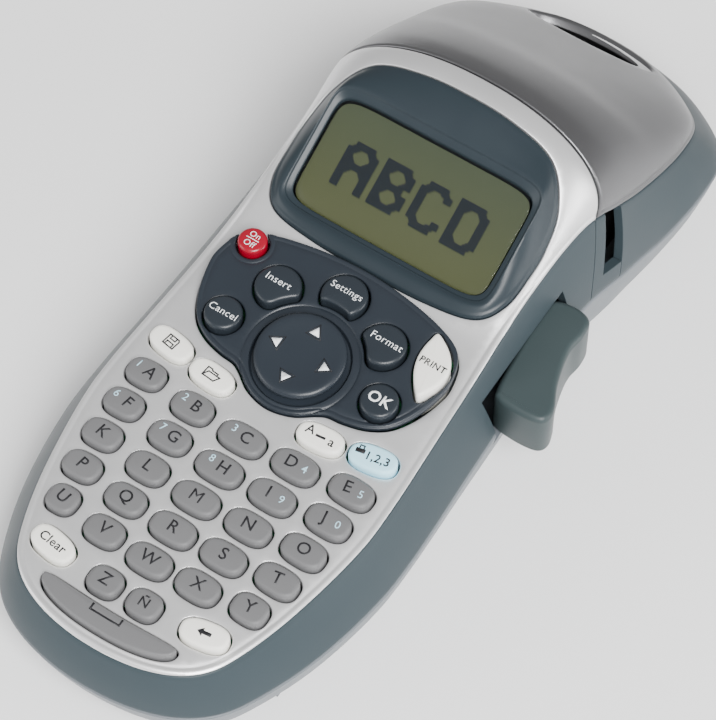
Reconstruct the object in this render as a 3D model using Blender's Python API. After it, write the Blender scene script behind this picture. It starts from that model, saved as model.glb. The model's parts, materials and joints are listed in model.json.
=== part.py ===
"""Handheld thermal label maker: keyboard grip, tilted display and a head that holds the tape cassette.

Every piece is modelled in the keypad frame and hangs from one tilted empty, so the whole product
rests on its flat back. Keypad frame, in millimetres: X to the cutter lever's side, Y from the
tail towards the head, Z out of the keypad. The letter C's key is at X = Y = 0.
"""
import math

import bmesh
import bpy
from mathutils import Matrix, Vector

MM = 0.001

# Placement: the keypad leans back over the flat underside.
TILT = math.radians(7.5)
BACK_DEPTH = 31.0                 # underside below the keypad at Y = 0
CENTRE = (4.0, 48.2)              # middle of the whole product, X in the keypad frame, Y on the table

# Outline of the widest line, where the two housings meet, as half-widths from tail to nose.
PARTING = [(0, -57.1), (11, -56.0), (20, -52.8), (26.5, -47.6), (31, -39.8), (35.6, -26.8),
           (38.6, -10.9), (39.2, 3), (38.1, 31), (37.0, 68), (38.6, 88), (39.4, 106), (39.2, 119),
           (37.0, 130.5), (30, 138.2), (17, 145.2), (0, 148)]
PER_SPAN = 2                      # outline points from one station to the next
SWAY = [(92, 0), (148, 1.8)]      # the head leans a little towards the lever's side
# Heights along the length, each a list of (Y, Z).
PARTING_Z = [(-60, -10.7), (0, -13.8), (52, -14.3), (72, -15.6), (90, -21.6), (103, -26.4),
             (117, -29.5), (130, -32.8), (148, -37.2)]
EDGE_Z = [(-60, -0.5), (30, -0.4), (46, 1.2), (60, 2.5), (78, 3.0), (84, 1.2), (89, -2.2),
          (97, -7.4), (105, -11.8), (114, -16.2), (123, -20.4), (133, -26.2), (145, -33.0)]
TOP_Z = [(-60, 0.6), (0, 0.8), (36, 0.9), (43.3, 1.6), (47.6, 3.1), (52, 5.2), (73.5, 16.4),
         (78, 18.6), (82.2, 19.9), (85.6, 19.9), (89.5, 18.6), (95.2, 15.7), (104, 9.0),
         (111, 2.4), (124.6, -10.1), (138.4, -22.6), (142.7, -26.8), (146.2, -31.5)]
# Width of the sloping side band between the widest line and the silver face.
EDGE_INSET = [(-58, 3.9), (-40, 5.0), (-24, 5.9), (0, 6.0), (50, 6.2), (75, 5.6), (90, 5.4),
              (105, 5.9), (120, 6.5), (132, 6.8), (148, 4.4)]
ROUND_P, ROUND_Q = 2.2, 2.2       # powers of the face's cross-section
ACROSS = (-1, -0.97, -0.88, -0.72, -0.45, 0, 0.45, 0.72, 0.88, 0.97, 1)

WALL = 2.0
GAP = 0.3
BELOW_ALL, ABOVE_ALL = -60, 34    # heights past the whole product
SEAM = (81.4, 0.44)               # cover seam plane: Y = first + second * Z
WALL_SPLIT = ((89.0, 0.0), (93.4, 0.44))      # where the cover's left and right walls start, likewise

# Keypad grid.
PITCH_X, PITCH_Y = 12.3, 8.05
ROW_BOW = 0.5                     # rise of a row's ends, per column squared
ROW_TAPER = 0.10                  # how much narrower the last row is
KEY_WIDTHS = (8.4, 8.9, 10.1, 9.9, 9.5)
KEY_HEIGHT = 6.1
KEY_POWER = 2.8                   # squareness of the letter keys' corners
KEY_TAPER = 0.06                  # how much narrower the lowest row's keys are
CORNER_TRIM = 1.3                 # and its end keys are narrower still
SMALL_KEY = 7.2
LAST_ROW = -40.6
KEY_RISE = 1.5
KEY_FOOT = -3.4
HOLE_GAP = 0.45
THROUGH = (-12, 14)               # heights that pass right through the face and the plate
KEY_EDGE, KEY_CHAMFER = 0.5, 0.7  # bevel round a key's top: its height and its width
LIGHT_KEY = (10.2, 5.8, 2.6)      # width, height and squareness of the white and blue keys
CLUSTER_RISE = 1.7                # cluster keys above the control plate

PLATE_FOOT = -1.4                 # underside of the control plate
NAV = (0, 21.0)
NAV_R = 9.5
BOSS_R = 4.0
BOSS_PLAY = 0.6
BOSS_FOOT, BOSS_RISE = -4.7, 0.55
BITE_R = 13.3                     # the cluster keys curve round the navigation disc

DISPLAY_Y = (51.2, 73.4)
DISPLAY_Z = (4.7, 16.0)
SLOPE = (DISPLAY_Z[1] - DISPLAY_Z[0]) / (DISPLAY_Y[1] - DISPLAY_Y[0])
FRAME_HALF = 23.6                 # half-width of the display window
WINDOW_DEPTH = 2.2
BEZEL_RISE, BEZEL_SKIRT = 0.5, 1.6            # bezel above and below the silver face
BEZEL_STEP, BEZEL_FOOT = 1.2, 0.8             # its rim's width round the window, above and below
LENS_DEPTHS = (1.7, 0.5)
LCD_DEPTHS = (6.0, 2.1)
LCD_GAP = 0.4

# Label exit in the right wall, its corners as (Y, Z): a floor that follows the parting line down
# and a front edge that leans like the seam.
SLOT = [(79.8, -13.0), (91.0, -17.6), (118.0, 30.0), (98.7, 30.0)]
SLOT_X = (20.0, 60.0)

BAY_HALF = 27.0                   # battery bay, on the table's axes
BAY_Y = (-76.0, -15.0)
BAY_Z = (2.6, 17.4)
BAY_SIDE, BAY_TAIL, BAY_HEAD, BAY_ROOF = 2.8, 1.5, 4.5, 1.2    # walls of the bay
BAY_LEDGE = 1.0                   # underside of those walls above the table
DOOR_THICK = 2.0
DOOR_SIDE, DOOR_HEAD = 1.0, 2.7   # how far the door reaches past the bay
DOOR_LIFT = 0.15                  # the door's underside above the table
TRACK_SIDE, TRACK_HEAD = 1.3, 3.0
PAST_TAIL = -130                  # any Y beyond the tail, on the table's axes
UNDER_TABLE = -5

PLATEN = (17.0, 87.4)
PLATEN_R = 3.5
ROLLER_TOP = -8.5
GEAR_MODULE = 1.0
PLATEN_TEETH, DRIVE_TEETH = 14, 21
DRIVE = (PLATEN[0] - 12.37, PLATEN[1] - 12.37)
GEAR_Z = (-29.0, -26.0)
POST_R = 1.3
PLATEN_POST_Z = (-42, -8.0)
DRIVE_POST_Z = (-40, -25.5)
AXLE_PLAY = 0.4                   # between a post and the bore that turns on it

LEVER_PLAN = [(32.2, 60.0), (33.2, 64.9), (38.0, 66.2), (42.0, 65.0), (42.9, 61.0), (42.5, 57.0),
              (43.1, 53.0), (44.6, 48.0), (46.6, 43.8), (47.2, 40.8), (45.8, 38.8), (41.5, 38.2),
              (36.0, 38.8), (34.3, 41.0), (33.2, 50.0)]
LEVER_Z = (-18.4, -5.2)
LEVER_EDGE = 1.2
LEVER_PIVOT = (33.5, 62.0, 0)
POCKET = ((27, 35.8, -19.2), (60, 67.2, -4.6))

COVER_AXIS = (0, 148.3, -37.3)
WINDOW = (0.4, 136.2)             # middle of the oval viewing window in the cap
WINDOW_SIZE = (31.5, 9.8)
# Rear housing from the parting line to the flat back: (share of the way down, inset).
REAR_LEVELS = [(0.0, 0.0), (0.35, 1.1), (0.65, 2.5), (0.86, 4.8), (0.97, 8.0), (1.0, 11.0)]


# ---------------------------------------------------------------- small maths

def along(table, y):
    """Smooth value of a (Y, value) list at y, with level ends."""
    if y <= table[0][0]:
        return table[0][1]
    if y >= table[-1][0]:
        return table[-1][1]
    i = max(k for k in range(len(table) - 1) if table[k][0] <= y)
    (y0, v0), (y1, v1) = table[i], table[i + 1]
    before = table[i - 1] if i else table[i]
    after = table[i + 2] if i + 2 < len(table) else table[i + 1]
    m0 = (v1 - before[1]) / (y1 - before[0])
    m1 = (after[1] - v0) / (after[0] - y0)
    h = y1 - y0
    t = (y - y0) / h
    return ((2 * t ** 3 - 3 * t ** 2 + 1) * v0 + (t ** 3 - 2 * t ** 2 + t) * h * m0
            + (3 * t ** 2 - 2 * t ** 3) * v1 + (t ** 3 - t ** 2) * h * m1)


def spline(points, per_span, closed=False):
    """Points of a Catmull-Rom curve through the given ones. An open one is half of a mirrored loop."""
    n = len(points)
    spans = n if closed else n - 1

    def at(k):
        if closed:
            return Vector(points[k % n])
        if k < 0:
            return Vector((-points[-k][0], points[-k][1]))
        if k >= n:
            k = 2 * (n - 1) - k
            return Vector((-points[k][0], points[k][1]))
        return Vector(points[k])

    found = []
    for i in range(spans):
        a, b, c, d = at(i - 1), at(i), at(i + 1), at(i + 2)
        for j in range(per_span):
            t = j / per_span
            found.append(0.5 * (2 * b + (c - a) * t + (2 * a - 5 * b + 4 * c - d) * t * t
                                + (3 * b - a - 3 * c + d) * t ** 3))
    if not closed:
        found.append(at(spans))
    return found


HALF = spline(PARTING, PER_SPAN)


def half_outline(inset):
    """The parting line's right half, moved inwards. inset is a number or a function of Y."""
    moved = []
    for i, p in enumerate(HALF):
        before = HALF[i - 1] if i else Vector((-HALF[1][0], HALF[1][1]))
        after = HALF[i + 1] if i + 1 < len(HALF) else Vector((-HALF[i - 1][0], HALF[i - 1][1]))
        run = (after - before).normalized()
        d = inset(p[1]) if callable(inset) else inset
        moved.append(Vector((p[0] - run[1] * d, p[1] + run[0] * d)))
    moved[0][0] = moved[-1][0] = 0
    return moved


def edge_outline(inset=0.0):
    return half_outline(lambda y: along(EDGE_INSET, y) + inset)


EDGE = edge_outline()


def edge_half_width(y, outline=EDGE):
    """Half-width of the silver face at y."""
    for a, b in zip(outline, outline[1:]):
        if a[1] <= y <= b[1]:
            return a[0] + (b[0] - a[0]) * (y - a[1]) / max(b[1] - a[1], 1e-6)
    return 0.0


def dome(ratio):
    return max(0.0, 1 - abs(ratio) ** ROUND_P) ** (1 / ROUND_Q)


def face_z(x, y):
    """Height of the silver face and cap."""
    low = along(EDGE_Z, y)
    return low + (along(TOP_Z, y) - low) * dome(x / max(edge_half_width(y), 0.01))


def back_z(y):
    return -BACK_DEPTH - math.tan(TILT) * y


def display_z(y):
    return DISPLAY_Z[0] + SLOPE * (y - DISPLAY_Y[0])


# ---------------------------------------------------------------- mesh helpers

parts = bpy.data.collections.new("label_maker")
tools = bpy.data.collections.new("cutters")
materials = {}


def start():
    for old in list(bpy.data.objects):
        bpy.data.objects.remove(old, do_unlink=True)
    bpy.context.scene.collection.children.link(parts)
    bpy.context.scene.collection.children.link(tools)
    frame = bpy.data.objects.new("keypad_frame", None)
    frame.rotation_euler = (TILT, 0, 0)
    frame.location = (-CENTRE[0] * MM, -CENTRE[1] * MM, BACK_DEPTH * math.cos(TILT) * MM)
    parts.objects.link(frame)
    return frame


def material(name, colour, roughness, metallic=0.0):
    made = bpy.data.materials.new(name)
    made.use_nodes = True
    shader = made.node_tree.nodes["Principled BSDF"]
    shader.inputs["Base Color"].default_value = (*colour, 1)
    shader.inputs["Roughness"].default_value = roughness
    shader.inputs["Metallic"].default_value = metallic
    materials[name] = made


def place(name, mesh, finish=None, on_table=False, pivot=None):
    """Link a mesh made in millimetres. A finish makes it a piece; without one it is a cutter.

    One on the table is upright, with X measured from the casing's middle.
    """
    origin = Vector(pivot) if pivot else Vector()
    mesh.transform(Matrix.Scale(MM, 4) @ Matrix.Translation(-origin))
    made = bpy.data.objects.new(name, mesh)
    made.location = origin * MM
    if on_table:
        made.location.x -= CENTRE[0] * MM
    else:
        made.parent = keypad_frame
    if finish:
        mesh.materials.append(materials[finish])
        parts.objects.link(made)
    else:
        made.hide_render = True
        made.display_type = "WIRE"
        tools.objects.link(made)
    return made


def to_mesh(name, bm, smooth=False):
    bmesh.ops.recalc_face_normals(bm, faces=bm.faces)
    mesh = bpy.data.meshes.new(name)
    bm.to_mesh(mesh)
    bm.free()
    if smooth:
        mesh.shade_smooth()
        mesh.set_sharp_from_angle(angle=math.radians(35))
    return mesh


def loft(name, rings, capped=True, smooth=False):
    """Closed solid through rings of equal count: capped at both ends, or joined last to first."""
    bm = bmesh.new()
    loops = [[bm.verts.new(p) for p in ring] for ring in rings]
    pairs = list(zip(loops, loops[1:]))
    if not capped:
        pairs.append((loops[-1], loops[0]))
    for low, high in pairs:
        for i in range(len(low)):
            j = (i + 1) % len(low)
            bm.faces.new((low[i], low[j], high[j], high[i]))
    if capped:
        bm.faces.new(reversed(loops[0]))
        bm.faces.new(loops[-1])
    return to_mesh(name, bm, smooth)


def box_mesh(name, low, high):
    bm = bmesh.new()
    bmesh.ops.create_cube(bm, size=1)
    low, high = Vector(low), Vector(high)
    centre, size = (low + high) / 2, high - low
    bm.transform(Matrix.Translation(centre) @ Matrix.Diagonal((*size, 1)))
    return to_mesh(name, bm)


def join_meshes(name, meshes):
    bm = bmesh.new()
    for mesh in meshes:
        bm.from_mesh(mesh)
        bpy.data.meshes.remove(mesh)
    return to_mesh(name, bm)


def boolean(target, cutter, operation="DIFFERENCE"):
    step = target.modifiers.new(cutter.name, "BOOLEAN")
    step.object = cutter
    step.operation = operation
    step.solver = "EXACT"


def full_ring(half, height):
    """Close a half outline with its mirror image. height gives Z from the half's index."""
    right = [(p[0], p[1], height(i)) for i, p in enumerate(half)]
    left = [(-x, y, z) for x, y, z in reversed(right[1:-1])]
    return [(x + along(SWAY, y), y, z) for x, y, z in right + left]


def prism(name, outline, low, high):
    """Upright solid on an outline of (X, Y). low and high are numbers or functions of (X, Y)."""
    def ring(level):
        return [(x, y, level(x, y) if callable(level) else level) for x, y in outline]
    return loft(name, [ring(low), ring(high)])


def grow(outline, by):
    """Move a closed counterclockwise outline outwards."""
    grown = []
    n = len(outline)
    for i in range(n):
        run = (Vector(outline[(i + 1) % n]) - Vector(outline[i - 1])).normalized()
        grown.append((outline[i][0] + run[1] * by, outline[i][1] - run[0] * by))
    return grown


def rounded(width, height, power=3.2, count=16, centre=(0, 0)):
    """Outline of a soft-cornered key, counterclockwise."""
    found = []
    for i in range(count):
        a = 2 * math.pi * (i + 0.5) / count
        c, s = math.cos(a), math.sin(a)
        found.append((centre[0] + width / 2 * math.copysign(abs(c) ** (2 / power), c),
                      centre[1] + height / 2 * math.copysign(abs(s) ** (2 / power), s)))
    return found


def circle(centre, radius, count=16, z=None, start=0.0):
    found = []
    for i in range(count):
        a = start + 2 * math.pi * i / count
        p = (centre[0] + radius * math.cos(a), centre[1] + radius * math.sin(a))
        found.append(p if z is None else (*p, z))
    return found


# ---------------------------------------------------------------- casings

def top_rows(inset):
    """Rows of the silver face across the product, from tail to nose, as one moved-in surface."""
    half = edge_outline(inset)
    rows = []
    for i, (x, y) in enumerate(half):
        low = along(EDGE_Z, EDGE[i][1])
        high = max(along(TOP_Z, EDGE[i][1]) - inset, low + 0.2)
        middle = along(SWAY, EDGE[i][1])
        rows.append([(middle + x * s, y, low + (high - low) * dome(s)) for s in ACROSS])
    return rows


def top_shell(name):
    """The whole silver skin as one closed shell, open underneath."""
    bm = bmesh.new()
    sheets = []
    for inset in (0, WALL):
        rows = top_rows(inset)
        sheet = []
        for i, row in enumerate(rows):
            tip = i in (0, len(rows) - 1)
            sheet.append([bm.verts.new(row[0])] * len(row) if tip else [bm.verts.new(p) for p in row])
        sheets.append(sheet)
        for a, b in zip(sheet, sheet[1:]):
            for k in range(len(ACROSS) - 1):
                corners = []
                for vert in (a[k], a[k + 1], b[k + 1], b[k]):
                    if vert not in corners:
                        corners.append(vert)
                bm.faces.new(corners if inset == 0 else corners[::-1])
    outer, inner = sheets
    for side in (0, -1):
        for i in range(len(outer) - 1):
            bm.faces.new((outer[i][side], outer[i + 1][side], inner[i + 1][side], inner[i][side]))
    return to_mesh(name, bm, smooth=True)


def wall_ring(name):
    """The dark side band all the way round, from the silver edge down to the parting line."""
    levels = [(0.0, 0.0), (0.45, 0.45), (1.0, 0.0)]        # share of the way down, bulge

    def ring(share, bulge, inset):
        half = half_outline(lambda y: along(EDGE_INSET, y) * (1 - share) - bulge + inset)

        def height(i):
            top = along(EDGE_Z, EDGE[i][1]) - GAP
            bottom = along(PARTING_Z, HALF[i][1]) + GAP / 2
            return top + (bottom - top) * share
        return full_ring(half, height)

    rings = [ring(share, bulge, 0) for share, bulge in levels]
    rings += [ring(share, bulge, WALL) for share, bulge in reversed(levels)]
    return loft(name, rings, capped=False, smooth=True)


def rear_ring(share, inset, lift=0.0):
    half = half_outline(inset)

    def height(i):
        top = along(PARTING_Z, HALF[i][1]) - GAP / 2
        bottom = back_z(half[i][1]) + lift
        return top + (bottom - top) * share
    return full_ring(half, height)


def rear_solid(name):
    return loft(name, [rear_ring(share, inset) for share, inset in REAR_LEVELS], smooth=True)


def rear_shell(name):
    outer = [rear_ring(share, inset) for share, inset in reversed(REAR_LEVELS)]
    inner = [rear_ring(share, inset + WALL, WALL) for share, inset in REAR_LEVELS[::2]]
    inner.append(rear_ring(1.0, REAR_LEVELS[-1][1] + WALL / 2, WALL))
    return loft(name, outer + inner, smooth=True)


def half_space(name, behind, left, right):
    """Big block on one side of a split plane, with half the gap taken off it.

    left and right give the plane as Y = first + second * Z on either side of the middle.
    """
    reach, far, middle = 120, 260, 1
    sign = 1 if behind else -1
    rings = []
    for x, (plane, slope) in ((-reach, left), (-middle, left), (middle, right), (reach, right)):
        low, high = (plane + slope * z + sign * GAP / 2 for z in (-reach, reach))
        rings.append([(x, low, -reach), (x, sign * far, -reach), (x, sign * far, reach), (x, high, reach)])
    return place(name, loft(name, rings))


def bulkhead(name):
    """Cross wall that closes the electronics off from the cassette bay, shaped to the arch above."""
    y = (76.0, 77.8)
    foot = -20.5
    side_x, side_low, side_high = -35.3, -15.6, -13.0      # where it grows into the side wall
    rings = [[(side_x, y[0], side_low), (side_x, y[1], side_low), (side_x, y[1], side_high),
              (side_x, y[0], side_high)]]
    for x in (-31.5, -29, -25, -18, -9, 0, 9, 18, 23.5):
        tops = [face_z(x, v) - WALL - 2.6 - 2.5 * (x / 31.5) ** 4 for v in y]
        rings.append([(x, y[0], foot), (x, y[1], foot), (x, y[1], tops[1]), (x, y[0], tops[0])])
    return loft(name, rings)


def casings():
    """Silver face, silver cap, dark side housing, dark cover walls and the grey rear housing."""
    front_of_seam = half_space("front_of_seam", False, SEAM, SEAM)
    behind_seam = half_space("behind_seam", True, SEAM, SEAM)
    front_of_wall = half_space("front_of_wall_split", False, *WALL_SPLIT)
    behind_wall = half_space("behind_wall_split", True, *WALL_SPLIT)

    face = place("face_plate", top_shell("face_plate"), "silver")
    boolean(face, front_of_seam, "INTERSECT")
    panel = place("cover_panel", top_shell("cover_panel"), "silver", pivot=COVER_AXIS)
    boolean(panel, behind_seam, "INTERSECT")
    boolean(panel, place("window_cut", prism("window_cut", window_outline(), BELOW_ALL, ABOVE_ALL)))

    front = place("front_housing", wall_ring("front_housing"), "slate")
    boolean(front, front_of_wall, "INTERSECT")
    slot = [[(x, y, z) for y, z in SLOT] for x in SLOT_X]
    boolean(front, place("slot_cut", loft("slot_cut", slot)))
    boolean(front, place("bulkhead", bulkhead("bulkhead")), "UNION")
    pocket = place("lever_pocket", box_mesh("lever_pocket", *POCKET))
    boolean(front, pocket)

    walls = place("cassette_cover", wall_ring("cassette_cover"), "slate", pivot=COVER_AXIS)
    boolean(walls, behind_wall, "INTERSECT")

    rear = place("rear_housing", rear_shell("rear_housing"), "grey")
    bay_block = box_mesh("bay_block", (-BAY_HALF - BAY_SIDE, BAY_Y[0] - BAY_TAIL, BAY_LEDGE),
                         (BAY_HALF + BAY_SIDE, BAY_Y[1] + BAY_HEAD, BAY_Z[1] + BAY_ROOF))
    boolean(rear, place("bay_block", bay_block, on_table=True), "UNION")
    boolean(rear, pocket)
    posts = [prism("post", circle(PLATEN, POST_R, 8), *PLATEN_POST_Z),
             prism("post", circle(DRIVE, POST_R, 8), *DRIVE_POST_Z)]
    boolean(rear, place("axle_posts", join_meshes("axle_posts", posts)), "UNION")
    bay = box_mesh("bay", (-BAY_HALF, BAY_Y[0], UNDER_TABLE), (BAY_HALF, BAY_Y[1], BAY_Z[1]))
    boolean(rear, place("bay_cut", bay, on_table=True))
    track = box_mesh("track", (-BAY_HALF - TRACK_SIDE, PAST_TAIL, UNDER_TABLE),
                     (BAY_HALF + TRACK_SIDE, BAY_Y[1] + TRACK_HEAD, DOOR_THICK + GAP))
    boolean(rear, place("door_track", track, on_table=True))

    door = place("battery_door", rear_solid("battery_door"), "grey")
    slab = box_mesh("door_slab", (-BAY_HALF - DOOR_SIDE, PAST_TAIL, DOOR_LIFT),
                    (BAY_HALF + DOOR_SIDE, BAY_Y[1] + DOOR_HEAD, DOOR_THICK))
    boolean(door, place("door_slab", slab, on_table=True), "INTERSECT")


def window_outline():
    return rounded(*WINDOW_SIZE, power=1.7, count=20, centre=WINDOW)


# ---------------------------------------------------------------- display

def bezel_outline():
    half = [(0, 45.6), (14, 46.0), (24.2, 47.9), (28.3, 53.2), (29.2, 61.2), (29.0, 68), (27.2, 75),
            (21.5, 81.2), (11, 82.9), (0, 83.2)]
    right = spline(half, 2)
    return [tuple(p) for p in right] + [(-p[0], p[1]) for p in reversed(right[1:-1])]


def window_loop(grow_by, count, drop):
    """Rounded rectangle on the display's slope, one point for each point of the bezel's outline."""
    middle = (DISPLAY_Y[0] + DISPLAY_Y[1]) / 2
    half_y = (DISPLAY_Y[1] - DISPLAY_Y[0]) / 2 + grow_by
    half_x = FRAME_HALF + grow_by
    found = []
    for i in range(count):
        a = 2 * math.pi * i / count - math.pi / 2
        c, s = math.cos(a), math.sin(a)
        reach = (abs(c) ** 9 + abs(s) ** 9) ** (-1 / 9)
        x, y = half_x * c * reach, middle + half_y * s * reach
        found.append((x, y, display_z(y) - drop))
    return found


def display():
    outline = bezel_outline()
    n = len(outline)
    outer_low = [(x, y, face_z(x, y) - BEZEL_SKIRT) for x, y in outline]
    outer_top = [(x, y, face_z(x, y) + BEZEL_RISE) for x, y in outline]
    rings = [outer_low, outer_top, window_loop(BEZEL_STEP, n, 0), window_loop(0, n, 0),
             window_loop(0, n, WINDOW_DEPTH), window_loop(BEZEL_FOOT, n, WINDOW_DEPTH + 0.6)]
    place("display_bezel", loft("display_bezel", rings, capped=False, smooth=True), "gloss_slate")
    lens_rings = [window_loop(-GAP, n, depth) for depth in LENS_DEPTHS]
    place("display_lens", loft("display_lens", lens_rings), "clear")
    lcd_rings = [window_loop(-LCD_GAP, n, depth) for depth in LCD_DEPTHS]
    place("lcd_module", loft("lcd_module", lcd_rings), "lcd")


# ---------------------------------------------------------------- keys

def keys():
    """Every key as (name, outline, finish, top of the surface round it)."""
    listed = []

    def add(name, centre, outline, finish, level):
        listed.append((name, centre, outline, finish, level))

    rows = ("abcde", "fghij", "klmno", "pqrst", "uvwxy")
    for r, letters in enumerate(rows):
        share = r / (len(rows) - 1)
        spread = 1 - ROW_TAPER * share ** 2
        for column, (letter, width) in enumerate(zip(letters, KEY_WIDTHS), -2):
            x = PITCH_X * column * spread
            y = -PITCH_Y * r + ROW_BOW * column ** 2
            width *= 1 - KEY_TAPER * share ** 2
            if letter in "uy":
                width -= CORNER_TRIM
            add("key_" + letter, (x, y), rounded(width, KEY_HEIGHT, KEY_POWER, centre=(x, y)), "key_grey",
                face_z(x, y))
    for name, x in (("key_z", -4.6), ("key_n_tilde", 4.6)):
        outline = rounded(SMALL_KEY, KEY_HEIGHT, KEY_POWER, centre=(x, LAST_ROW))
        add(name, (x, LAST_ROW), outline, "key_grey", face_z(x, LAST_ROW))
    light = [("key_clear", -17.9, -39.4), ("key_backspace", 17.9, -39.4), ("key_save", -24.25, 10.45),
             ("key_num_lock", 24.25, 10.45), ("key_recall", -13.05, 8.5), ("key_caps", 13.05, 8.5)]
    for name, x, y in light:
        finish = "key_blue" if name == "key_num_lock" else "key_cream"
        outline = turned(rounded(*LIGHT_KEY, centre=(x, y)), (x, y), bow_angle(x, y))
        add(name, (x, y), outline, finish, face_z(x, y))
    add("key_space", (0, -47.4), space_outline(), "key_grey", face_z(0, -47.0))
    return listed


def bow_angle(x, y):
    """The white keys lie along the same bow as the letter rows."""
    return math.atan(2 * ROW_BOW * x / PITCH_X ** 2 * (1 if y > 0 else 1.6))


def turned(outline, centre, angle):
    c, s = math.cos(angle), math.sin(angle)
    return [(centre[0] + (x - centre[0]) * c - (y - centre[1]) * s,
             centre[1] + (x - centre[0]) * s + (y - centre[1]) * c) for x, y in outline]


def space_outline():
    """Lens-shaped bar: a nearly straight upper edge and an arched lower edge."""
    half, middle, above, below, bow = 15.6, -46.9, 1.5, 3.4, 1.0
    found = []
    count = 20
    for i in range(count):
        a = 2 * math.pi * (i + 0.5) / count
        c, s = math.cos(a), math.sin(a)
        x = half * math.copysign(abs(c) ** 0.8, c)
        y = middle + (above * s ** 0.5 if s > 0 else -below * (-s) ** 0.9)
        found.append((x, y + bow * (x / half) ** 2))
    return found


def plate_z(x, y):
    """Top of the dark control plate."""
    return 1.9 + 0.085 * (y - 17)


def bitten(centre, radius, count=16):
    """Round key outline with the side towards the navigation disc scooped out."""
    found = []
    for x, y in circle(centre, radius, count):
        away = Vector((x - NAV[0], y - NAV[1]))
        if away.length < BITE_R:
            away = away.normalized() * BITE_R
        found.append((NAV[0] + away[0], NAV[1] + away[1]))
    return found


def cluster_keys():
    listed = []
    plain = [("key_cancel", (-18.8, 21.1), 4.0, "key_slate"), ("key_ok", (18.8, 21.1), 4.0, "key_slate"),
             ("key_power", (-22.9, 37.9), 3.1, "key_red")]
    for name, centre, radius, finish in plain:
        listed.append((name, centre, circle(centre, radius), finish, plate_z(*centre)))
    scooped = [("key_insert", (-12.7, 32.0)), ("key_format", (12.7, 32.0)), ("key_settings", (0, 37.2))]
    for name, centre in scooped:
        listed.append((name, centre, bitten(centre, 4.9), "key_slate", plate_z(*centre)))
    leaf = print_outline()
    listed.append(("key_print", (24.2, 33.0), leaf, "key_cream", plate_z(24.2, 33.0)))
    return listed


def print_outline():
    """Leaf shape over the plate's right edge."""
    tip, foot = Vector((20.6, 40.2)), Vector((25.0, 25.6))
    inner, outer = 2.6, 4.6                                # bulge of either side
    run = foot - tip
    side = Vector((-run[1], run[0])).normalized()
    steps = 8
    bulge = [side * math.sin(math.pi * k / steps) ** 0.8 for k in range(steps)]
    found = [tip + run * (k / steps) - bulge[k] * inner for k in range(steps)]
    found += [foot - run * (k / steps) + bulge[k] * outer for k in range(steps)]
    return [tuple(p) for p in found]


def counterclockwise(outline):
    area = sum(a[0] * b[1] - b[0] * a[1] for a, b in zip(outline, outline[1:] + outline[:1]))
    return outline if area > 0 else outline[::-1]


def key_solid(name, outline, foot, top):
    rings = [[(x, y, foot) for x, y in outline], [(x, y, top - KEY_EDGE) for x, y in outline],
             [(x, y, top) for x, y in grow(outline, -KEY_CHAMFER)]]
    return loft(name, rings, smooth=True)


def control_outline():
    """Dark plate: two shoulders round the cluster keys and a round foot under the disc."""
    half = [(0, 8.7), (5.2, 9.9), (9.2, 12.6), (11.4, 13.7), (14.8, 14.1), (19.3, 15.4), (23.2, 18.0),
            (26.0, 22.4), (27.9, 28.2), (28.3, 33.0), (26.1, 38.8), (20, 41.9), (10, 44.0), (0, 44.7)]
    right = spline(half, 2)
    return [tuple(p) for p in right] + [(-p[0], p[1]) for p in reversed(right[1:-1])]


def keypad(face):
    face_holes, plate_holes = [], []
    for name, centre, outline, finish, level in keys():
        outline = counterclockwise(outline)
        place(name, key_solid(name, outline, KEY_FOOT, level + KEY_RISE), finish, pivot=(*centre, KEY_FOOT))
        sharp = 2 if name == "key_space" else 1            # its pointed ends need a wider hole
        face_holes.append(prism("hole", grow(outline, HOLE_GAP * sharp), *THROUGH))
    for name, centre, outline, finish, level in cluster_keys():
        outline = counterclockwise(outline)
        key = key_solid(name, outline, KEY_FOOT, level + CLUSTER_RISE)
        place(name, key, finish, pivot=(*centre, KEY_FOOT))
        plate_holes.append(prism("hole", grow(outline, HOLE_GAP), *THROUGH))
        if name in ("key_power", "key_print"):             # these straddle the plate's edge
            face_holes.append(prism("hole", grow(outline, HOLE_GAP), *THROUGH))
    plate_holes.append(prism("hole", circle(NAV, BOSS_R + BOSS_PLAY, 12), *THROUGH))

    plate = control_outline()
    control = place("control_plate", prism("control_plate", plate, PLATE_FOOT, plate_z), "dark_slate")
    boolean(control, place("cluster_holes", join_meshes("cluster_holes", plate_holes)))
    boolean(face, place("face_holes", join_meshes("face_holes", face_holes)))
    for cut, outline in (("control_opening", plate), ("bezel_opening", bezel_outline())):
        boolean(face, place(cut, prism(cut, grow(counterclockwise(outline), GAP), THROUGH[0], ABOVE_ALL)))

    boss = prism("nav_boss", circle(NAV, BOSS_R, 12), BOSS_FOOT, lambda x, y: plate_z(x, y) + BOSS_RISE)
    place("nav_boss", boss, "rubber", pivot=(*NAV, 0))
    profile = [(NAV_R, 0.85), (NAV_R, 1.7), (NAV_R - 1.0, 2.4), (NAV_R - 5.0, 2.0)]
    rings = [[(x, y, plate_z(x, y) + height) for x, y in circle(NAV, r, 24)] for r, height in profile]
    place("nav_disc", loft("nav_disc", rings, smooth=True), "dark_slate", pivot=(*NAV, 0))


# ---------------------------------------------------------------- insides and cutter

def gear_outline(centre, teeth, phase):
    """Straight-flanked teeth, thinned so that a pair runs with play."""
    pitch = GEAR_MODULE * teeth / 2
    root, tip = pitch - 1.15 * GEAR_MODULE, pitch + 0.8 * GEAR_MODULE
    step = 2 * math.pi / teeth
    found = []
    for k in range(teeth):
        for radius, share in ((root, -0.26), (tip, -0.13), (tip, 0.13), (root, 0.26)):
            a = phase + (k + share) * step
            found.append((centre[0] + radius * math.cos(a), centre[1] + radius * math.sin(a)))
    return found


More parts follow.
